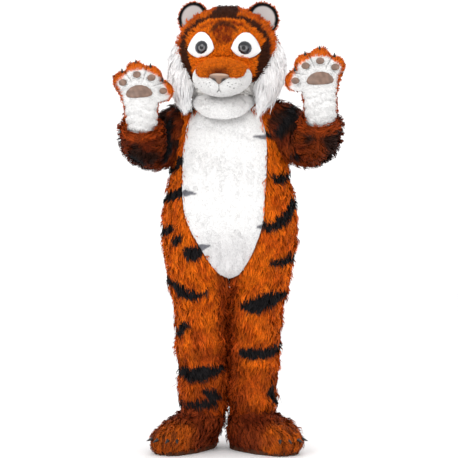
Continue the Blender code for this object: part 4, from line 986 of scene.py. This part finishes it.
def bridge_tint(points):
    spots = in_head(points)
    near_nose = np.exp(-(((spots - (0.0, -0.285, -0.110)) / (0.040, 0.030, 0.020)) ** 2).sum(1))
    # Rust-coloured fur by the nose, darkened further as a painted shadow band where the bridge meets the nose.
    colour = layered(FACE_ORANGE, (ORANGE, cloudy(points, 0.04, 52, 1.4) * 0.8), (NOSE_RUST_AND_SHADOW, near_nose * 0.95))
    # Painted shade over the top and front of the bridge, which face the light, and painted light at its seam
    # with the face.
    seam = eased((spots[:, 1] + 0.235) / 0.05) * eased((spots[:, 2] + 0.110) / 0.02)
    return colour * (0.82 + 0.26 * seam)[:, None]


def bridge_length(points):
    """Clipped over the nose and long at the seam, where it is brushed over the face."""
    return 0.0095 + 0.019 * eased((in_head(points)[:, 1] + 0.222) / 0.035)


plushed("muzzle", MUZZLE_HOLLOWS, muzzle_tint, per_cm2=13.0, flow=muzzle_way, seed=51, length=0.0060)
coated(
    "muzzle_bridge", "orange_fur", MUZZLE_HOLLOWS, bridge_tint, levels=1, per_cm2=22.0, length=bridge_length,
    width=0.0022, flow=muzzle_way, lay=0.0030, tuft=0.006, seed=52, sunk=0.002, shades=(0.62, 0.97, 1.18),
    vary=0.12,
)


def vinyl_finish(name, dark, light):
    """Soft vinyl: fine leather grain, a few wrinkles, and a worn shine."""
    finish = Finish(name, Specular_IOR_Level=0.5, Coat_Roughness=0.25)
    cells = finish.add("TexVoronoi", {"feature": "DISTANCE_TO_EDGE"}, {"Vector": finish.spot, "Scale": 420.0})
    wrinkle = finish.grain(75.0, 4.0, 0.65)
    rub = finish.grain(28.0, 3.0, 0.6)
    bump = finish.raised(Reading(finish, cells) * 2.2, 0.0002, finish.raised(wrinkle, 0.0022))
    return finish.wear(
        Base_Color=finish.tinted(finish.mixed(rub.held(0.3, 0.7), dark, light)), Roughness=rub * 0.22 + 0.32,
        Coat_Weight=(1.0 - rub) * 0.35, Normal=bump,
    )


VINYL = vinyl_finish("brown_vinyl", (0.86, 0.84, 0.82), (1.12, 1.10, 1.08))


def smoothed(node, material, crease=180.0, tint=None):
    """The node's form with its facets rounded off."""
    piece = backing_of(node, [], 0.0, name=node + "_smooth", crease=crease)
    if tint is not None:
        paint(piece.data, tint(points_of(piece.data)))
    piece.data.materials.append(material)
    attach(piece, "costume")
    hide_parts(node)
    return piece


def nose_tint(points):
    x, _, height = head_mm(points).T
    nostril = bell(abs(x) - 24.0, 9.0) * bell(height - 1506.0, 9.0)
    # Painted shade along the underside of the nose, in the nostrils' dark colour.
    edge = eased((1501.0 - height) / 10.0)
    # Painted light over the top of the nose.
    return layered(NOSE_BROWN, (NOSE_LIT_TOP, eased((height - 1522.0) / 8.0)),
                   (NOSTRIL_AND_UNDERSIDE_SHADE, capped(2.5 * nostril - 0.3 + 0.6 * edge)))


nose = smoothed("nose", VINYL, tint=nose_tint)
nose_spots = in_head(points_of(nose.data))
pinch = 1.0 - 0.45 * eased((-0.128 - nose_spots[:, 2]) / 0.028)
dent = bell(abs(nose_spots[:, 0]) - 0.024, 0.008) * bell(nose_spots[:, 2] + 0.144, 0.007)
nose_spots[:, 0] *= pinch
nose_spots[:, 1] += 0.0045 * dent
place_points(nose.data, nose_spots @ HEAD_TURN.T + HEAD_MIDDLE)

# ---------------------------------------------------------------- eyes
# Domed plastic eyes with a printed grey iris under a clear gloss, set on almond patches of white plush that are
# glued to the face.

IRIS = 0.0155
PUPIL = 0.0080
LOOK = (0.002, -0.003)  # how far the iris is from the middle of the dome, inwards and up

eye_finish = Finish("glossy_eye", Roughness=0.10, Specular_IOR_Level=0.25, Coat_Weight=0.5, Coat_Roughness=0.04)
gaze = eye_finish.add("Attribute", {"attribute_name": "gaze"}, {}, 1)
off_pupil = Reading(eye_finish, eye_finish.add("VectorMath", {"operation": "LENGTH"}, {0: gaze}, 1))
up = Reading(eye_finish, eye_finish.add("SeparateXYZ", {}, {"Vector": gaze}, 2))
spoke = eye_finish.add("VectorMath", {"operation": "NORMALIZE"}, {0: gaze})
streaks = eye_finish.grain(9.0, 3.0, 0.7, spot=spoke).held(0.3, 0.7)
colour = eye_finish.mixed(streaks, (0.05, 0.052, 0.06), (0.21, 0.20, 0.205))
for share, shade in (  # the iris's dark ring, the ball and the lid's shadow
        (off_pupil.held(IRIS - 0.0025, IRIS), (0.006, 0.006, 0.008)),
        (off_pupil.held(IRIS + 0.002, IRIS + 0.009), (0.040, 0.045, 0.062)),
        (up.held(0.001, 0.013) * 0.88, (0.007, 0.008, 0.012))):
    colour = eye_finish.mixed(share, colour, shade)
pupil_edge = off_pupil.held(PUPIL - 0.0004, PUPIL + 0.0004)
eye_finish.wear(Base_Color=eye_finish.mixed(pupil_edge, (0.004, 0.004, 0.005), colour))


def patch_way(points, normals):
    return unit(in_head(points)) @ HEAD_TURN.T + (0.0, 0.0, -0.3)


for i, (side, sign) in enumerate(SIDES.items()):
    plushed(
        f"eye_patch_{side}", ["head"], lambda points: np.tile(WHITE, (len(points), 1)), flat=(0.122, 0.119),
        held="stretched", rests_on=["head_face_backing"], area=0.0103, levels=1, per_cm2=18.0, flow=patch_way,
        seed=61 + i, length=0.0050, lay=0.0015, sunk=0.001,
    )
    eye = smoothed(f"eye_{side}", eye_finish.material, crease=50.0)
    spots = in_head(points_of(eye.data)) - (sign * (0.088 - LOOK[0]), 0.0, 0.004 + LOOK[1])
    spots[:, 1] = 0.0
    looks = eye.data.attributes.new("gaze", "FLOAT_VECTOR", "POINT")
    looks.data.foreach_set("vector", spots.astype(np.float32).ravel())

# ---------------------------------------------------------------- ears
# Two cupped discs of foam sewn to the head: short orange fur behind, a black rim round them, and white plush
# let into the front.

EAR_AT = np.array((0.141, -0.008, 0.148))
EAR_SPREAD = math.radians(18.0)
# The lining's white plush, painted grey as the shade inside the cup of the ear.
SHADED_LINING_WHITE = (0.50, 0.465, 0.455)


def in_ear(sign, points):
    """Across, depth and height from the middle of an ear, which faces -Y, and the distance from it."""
    spots = turned_about_z(in_head(points) * (sign, 1.0, 1.0) - EAR_AT, -EAR_SPREAD)
    return spots, np.hypot(spots[:, 0], spots[:, 2])


def ear_front(spots, radius, edge, soft):
    """1 in front of the cupped ear's edge, which is this far from its middle surface."""
    return eased((edge - spots[:, 1] - 4.0 * radius ** 2) / soft)


def ear_tint(sign, points):
    spots, radius = in_ear(sign, points)
    front = ear_front(spots, radius, -0.0030, 0.003)
    behind = near_strokes(seen(spots), [[(-34, 8, 5), (0, 16, 8), (34, 8, 5)]], 8.0)
    return layered(ORANGE, (DEEP_ORANGE, cloudy(points, 0.03, 71, 1.3) * 0.7),
                   (BLACK, np.maximum(front, behind * (1.0 - front))))


def lining_tint(sign, points):
    """White plush painted grey as shade inside the cupped ear, with a black edge above and on the outer side.
    """
    spots, radius = in_ear(sign, points)
    upper = eased((spots[:, 2] + 0.3 * spots[:, 0] + 0.016) / 0.012)
    return layered(SHADED_LINING_WHITE, (BLACK, eased((radius - 0.049) / 0.003) * upper))


def ear_way(sign, points, normals):
    spots, _ = in_ear(sign, points)
    return turned_about_z(unit(spots * (1.0, 0.0, 1.0)), EAR_SPREAD) * (sign, 1.0, 1.0) @ HEAD_TURN.T


def ear_length(sign, points):
    """Clipped close along the rim, with a fringe behind it."""
    return 0.027 - 0.022 * ear_front(*in_ear(sign, points), -0.0015, 0.004)


def ear_rim(sign, points):
    spots, radius = in_ear(sign, points)
    return (radius > 0.054) | (spots[:, 1] > -4.0 * radius ** 2 - 0.003)


for i, (side, sign) in enumerate(SIDES.items()):
    coated(
        f"ear_back_{side}", "orange_fur", [], partial(ear_tint, sign), levels=1, per_cm2=22.0,
        length=partial(ear_length, sign), width=0.0022, flow=partial(ear_way, sign), lay=0.0035, tuft=0.008,
        seed=71 + i, keep=partial(ear_rim, sign), sunk=0.001, drift=0.0, cling=False,
    )
    plushed(f"ear_front_{side}", [], partial(lining_tint, sign), per_cm2=18.0, flow=partial(ear_way, sign),
            seed=73 + i, length=0.009, sunk=0.001)

# ---------------------------------------------------------------- ruffs and bib
# White fur with a very long pile hangs from the sides of the head over the shoulders, and a deep bib of white
# plush rolls out under the chin and covers the neck of the suit.

NECK_HOLLOWS = ["neck", "head_base"]
RUFF_SHADE = (0.78, 0.78, 0.80)
CHIN_SHADE = (0.66, 0.65, 0.64)


def ruff_tint(points):
    return layered(RUFF_WHITE, (RUFF_SHADE, cloudy(points, 0.030, 81, 1.5) * 0.30))


def ruff_thinned(points, normals):
    """The lower end of the cloth is narrow, and the pile alone gives the ruff its width there."""
    return -0.009 * eased((0.13 - points[:, 2]) / 0.08)


def ruff_way(points, normals):
    """Down, outwards from the head at first and then in towards the neck."""
    aside = np.interp(points[:, 2], [0.05, 0.22], [-0.35, 0.25]) * np.sign(in_head(points)[:, 0])
    return np.stack([aside, np.full(len(points), 0.05), np.full(len(points), -1.0)], 1)


def bib_tint(points):
    under = eased((points[:, 2] - 0.005) / 0.035) * eased((-points[:, 1] - 0.10) / 0.05)
    return layered(WHITE, (CHIN_SHADE, under * 0.6))


def bib_roll(points, normals):
    return 0.0015 * np.sin(40.0 * points[:, 0])


for i, side in enumerate(SIDES):
    coated(
        f"ruff_{side}", "white_fur", [], ruff_tint, fibre=WHITE_FIBRE, levels=1, under=0.9, per_cm2=16.0,
        length=0.080, width=0.0028, flow=ruff_way, lay=0.007, tuft=0.014, shades=(0.90, 1.0, 1.03), vary=0.035,
        gathered=(0.4, 0.9), sway=0.45, stray=0.05, seed=81 + i, sunk=0.003, moved=ruff_thinned,
    )
plushed("bib", NECK_HOLLOWS, bib_tint, flat=(0.60, 0.12), held="gathered", rests_on=["belly_backing"],
        area=0.045, moved=bib_roll, per_cm2=16.0, flow=downwards, seed=83)

# ---------------------------------------------------------------- paw mitts
# Stuffed mitts with a white plush palm that runs down into a long gauntlet, an orange fur back, brown vinyl
# pads over thin foam, and four short black claws of hard plastic.

WRISTS = {  # place of the wrist, tilt and turn in degrees, and the side that the thumb is on
    "left": ((0.360, -0.280, -0.012), -3.0, -4.0, -1),
    "right": ((-0.361, -0.166, -0.052), -4.0, 4.0, 1),
}
HAND_MIDDLE = 0.060
TOE_TIPS = [  # x, height, half width and half height, from the wrist
    (0.094, 0.094, 0.044, 0.043), (0.050, 0.150, 0.046, 0.048), (-0.008, 0.166, 0.044, 0.050),
    (-0.066, 0.138, 0.042, 0.046),
]
TOES = ("thumb", "index", "middle", "little")
PALM_GREY = (0.70, 0.695, 0.69)
PAD_BROWN = (0.22, 0.132, 0.095)
PAD_DARK = (0.145, 0.085, 0.060)
BACK_BARS = [  # x, height and half width in mm, from the wrist
    [(-40, -40, 8), (0, -48, 12), (40, -40, 8)], [(-52, 24, 8), (-10, 12, 14), (44, 24, 8)],
    [(-56, 92, 6), (-14, 84, 13), (40, 92, 7)], [(-10, 130, 7), (-8, 168, 9)], [(50, 128, 7), (54, 158, 7)],
]


def mitt_turn(side):
    _, tilt, turn, _ = WRISTS[side]
    return np.array(Matrix.Rotation(math.radians(tilt), 3, "Y") @ Matrix.Rotation(math.radians(turn), 3, "Z"))


def in_mitt(side, points):
    """Places from the wrist, in metres: the thumb towards +X and the palm towards -Y."""
    wrist, _, _, thumb = WRISTS[side]
    return (points - wrist) @ mitt_turn(side) * (thumb, 1.0, 1.0)


def palm_way(side, points, normals):
    *_, thumb = WRISTS[side]
    spots = in_mitt(side, points)
    away = unit(spots - (0.0, -0.02, 0.09)) * (thumb, 1.0, 1.0) @ mitt_turn(side).T
    return layered(away, ((0.0, 0.0, -1.0), eased((0.07 - spots[:, 2]) / 0.06)))


def toe_grooves(side):
    """Seen from the front, in mm: grooves between neighbouring toes, and the crease at the foot of each toe."""
    pads = {name: seen(in_mitt(side, points_of(frame["nodes"][f"pad_{name}_{side}"].data))).mean(0)
            for name in (*TOES, "main")}
    grooves = []
    for first, second in zip(TOES, TOES[1:]):
        between = (pads[first] + pads[second]) / 2.0
        away = unit(between - pads["main"])
        grooves.append([(*(between - 20.0 * away), 0.8), (*(between + 46.0 * away), 3.4)])
    for name in TOES:
        away = unit(pads[name] - pads["main"])
        foot, aside = pads[name] - 19.0 * away, 18.0 * np.array((away[1], -away[0]))
        ends = foot - aside + 6.0 * away, foot + aside + 6.0 * away
        grooves.append([(*ends[0], 0.6), (*foot, 1.6), (*ends[1], 0.6)])
    return grooves


GROOVES = {side: toe_grooves(side) for side in SIDES}


def toe_tips(spots):
    """How much of each spot is over the tip of a toe, where the fur of the back comes forward."""
    most = np.zeros(len(spots))
    for across, height, half_width, half_height in TOE_TIPS:
        out = unit(np.array((across, height - HAND_MIDDLE)))
        off = spots[:, [0, 2]] - (across, height)
        tip = eased((off @ out / half_height - 0.20) / 0.12)
        most = np.maximum(most, tip * (abs(off @ (out[1], -out[0])) < 1.3 * half_width))
    return most


def palm_tint(side, points):
    spots = in_mitt(side, points)
    toes = eased((spots[:, 2] - 0.06) / 0.05)
    colour = layered(WHITE, (PALM_GREY, cloudy(points, 0.05, 91, 1.4) * (0.25 + 0.2 * toes)),
                     (ORANGE, toe_tips(spots)))
    # Painted shade in the grooves between the toes and along the foot of each toe.
    return colour * (1.0 - 0.62 * near_strokes(seen(spots), GROOVES[side], 4.5))[:, None]


def palm_length(side, points):
    return 0.0065 + 0.010 * toe_tips(in_mitt(side, points))


def palm_lay(side, points):
    return 0.0022 + 0.0035 * toe_tips(in_mitt(side, points))


def palm_folds(side, points, normals):
    """Soft cross folds where the gauntlet gives at the wrist, and stitched grooves round the toes."""
    spots = in_mitt(side, points)
    x, _, z = spots.T
    slope = z + 0.18 * x + 0.006 * np.sin(55.0 * x)
    folds = np.sin(190.0 * slope) + 0.5 * np.sin(330.0 * slope + 1.3)
    folds *= eased((0.062 - z) / 0.03) * eased((z + 0.085) / 0.02)
    stitched = near_strokes(seen(spots), GROOVES[side], 7.0) * eased((-0.3 - normals[:, 1]) / 0.3)
    return 0.0030 * folds - 0.0040 * stitched


def mitt_back_tint(side, points):
    spots = in_mitt(side, points)
    bars = near_strokes(seen(spots), BACK_BARS, 8.0) * eased((spots[:, 1] + 0.03) / 0.02)
    return layered(ORANGE, (DEEP_ORANGE, cloudy(points, 0.05, 92, 1.3) * 0.8), (BLACK, bars))


def mitt_back_way(side, points, normals):
    """Down the back, and at the edge forward over the palm."""
    turned = mitt_turn(side)
    edge = eased((0.75 - abs(normals @ turned)[:, 1:2]) / 0.5)
    return (0.0, 0.0, -0.7) + edge * (turned @ (0.0, -1.0, 0.0))


def mitt_back_length(side, points):
    """Longest over the tips of the toes."""
    return np.interp(in_mitt(side, points)[:, 2], [0.07, 0.12], [0.026, 0.038])


def pad_tint(points):
    return layered(PAD_BROWN, (PAD_DARK, cloudy(points, 0.02, 93, 1.2)))


claw_finish = Finish("claw_plastic", Specular_IOR_Level=0.3)
chalk = claw_finish.grain(160.0, 4.0, 0.6)
claw_finish.wear(Base_Color=claw_finish.mixed(chalk, (0.008, 0.008, 0.008), (0.030, 0.028, 0.027)),
                 Roughness=chalk * 0.25 + 0.2, Normal=claw_finish.raised(chalk, 0.0001))

for i, side in enumerate(SIDES):
    hollows = [f"{side}_gauntlet", f"{side}_hand"]
    cloth = {"flat": (0.30, 0.36), "held": "stretched", "rests_on": ["wearer"], "area": 0.066}
    plushed(
        f"mitt_palm_{side}", hollows, partial(palm_tint, side), **cloth,
        moved=partial(palm_folds, side), per_cm2=12.0, flow=partial(palm_way, side), seed=91 + i,
        length=partial(palm_length, side), lay=partial(palm_lay, side), drift=0.0,
    )
    coated(
        f"mitt_back_{side}", "orange_fur", hollows, partial(mitt_back_tint, side), **cloth, levels=1,
        per_cm2=11.5, length=partial(mitt_back_length, side), width=0.0028, flow=partial(mitt_back_way, side),
        lay=0.007, tuft=0.010, seed=93 + i, sunk=0.003,
    )
    for name in ("main", *TOES):
        smoothed(f"pad_{name}_{side}", VINYL, tint=pad_tint)
    for name in TOES:
        smoothed(f"claw_{name}_{side}", claw_finish.material, crease=80.0)

# ---------------------------------------------------------------- boots
# Over-boots of dark reddish fur on a foam last, with four stuffed toes of brighter orange, black claws between
# the locks, and a flat sole cut from dark brown foam that the pile hides.

BOOT_AT = {"left": ((0.104, -0.032), 36.0), "right": ((-0.161, -0.004), -26.0)}
INSTEP = (0.125, 0.017, 0.004)
INSTEP_LIGHT = (0.25, 0.040, 0.008)
TOE_ORANGE = (0.50, 0.095, 0.006)
TOE_GAPS = np.array([-0.040, 0.0, 0.040])  # x of the gaps between the toes


def in_boot(side, points):
    """Places from over the heel, in metres, with the toes towards -Y."""
    (across, depth), turn = BOOT_AT[side]
    return turned_about_z(points - (across, depth, FLOOR), -math.radians(turn))


def boot_tint(side, points):
    x, y, z = in_boot(side, points).T
    toes = eased((-y - 0.125) / 0.09)
    off_gap = abs(x[:, None] - TOE_GAPS).min(1)
    gaps = bell(off_gap, 0.007) * toes * eased((0.12 - z) / 0.05)
    low = eased((0.040 - z) / 0.035) * (1.0 - 0.7 * toes)
    return layered(
        INSTEP, (INSTEP_LIGHT, cloudy(points, 0.06, 101, 1.5) * 0.8),
        (TOE_ORANGE, capped(toes * (0.45 + 0.9 * cloudy(points, 0.045, 102, 1.4)))),
        (DARK_BROWN, capped(0.85 * gaps + 0.45 * low)))


def boot_way(side, points, normals):
    forward = turned_about_z(np.array([[0.0, -1.0, 0.0]]), math.radians(BOOT_AT[side][1]))
    low = eased((0.075 - over_floor(points)[:, 2:]) / 0.05)
    return (0.8 * forward + 0.2 * normals) * (1.0 - low) + (0.0, 0.0, -0.9)


sole_finish = Finish("dark_foam_sole", Roughness=0.85, Specular_IOR_Level=0.1)
pores = sole_finish.grain(700.0, 2.0, 0.6)
scuff = sole_finish.grain(30.0, 4.0, 0.6)
sole_finish.wear(Base_Color=sole_finish.mixed(scuff, (0.045, 0.018, 0.010), (0.105, 0.040, 0.020)),
                 Normal=sole_finish.raised(pores, 0.0003))

for i, side in enumerate(SIDES):
    coated(
        f"boot_{side}", "dark_fur", [f"{side}_ankle", f"{side}_toes"], partial(boot_tint, side), levels=1,
        per_cm2=8.0, length=0.044, width=0.0037, flow=partial(boot_way, side), lay=0.010, seed=101 + i,
        stray=0.2, gathered=(0.3, 0.75),
    )
    for number in range(1, 5):
        smoothed(f"claw_boot_{number}_{side}", claw_finish.material, crease=80.0)
    finished(f"sole_{side}", sole_finish)
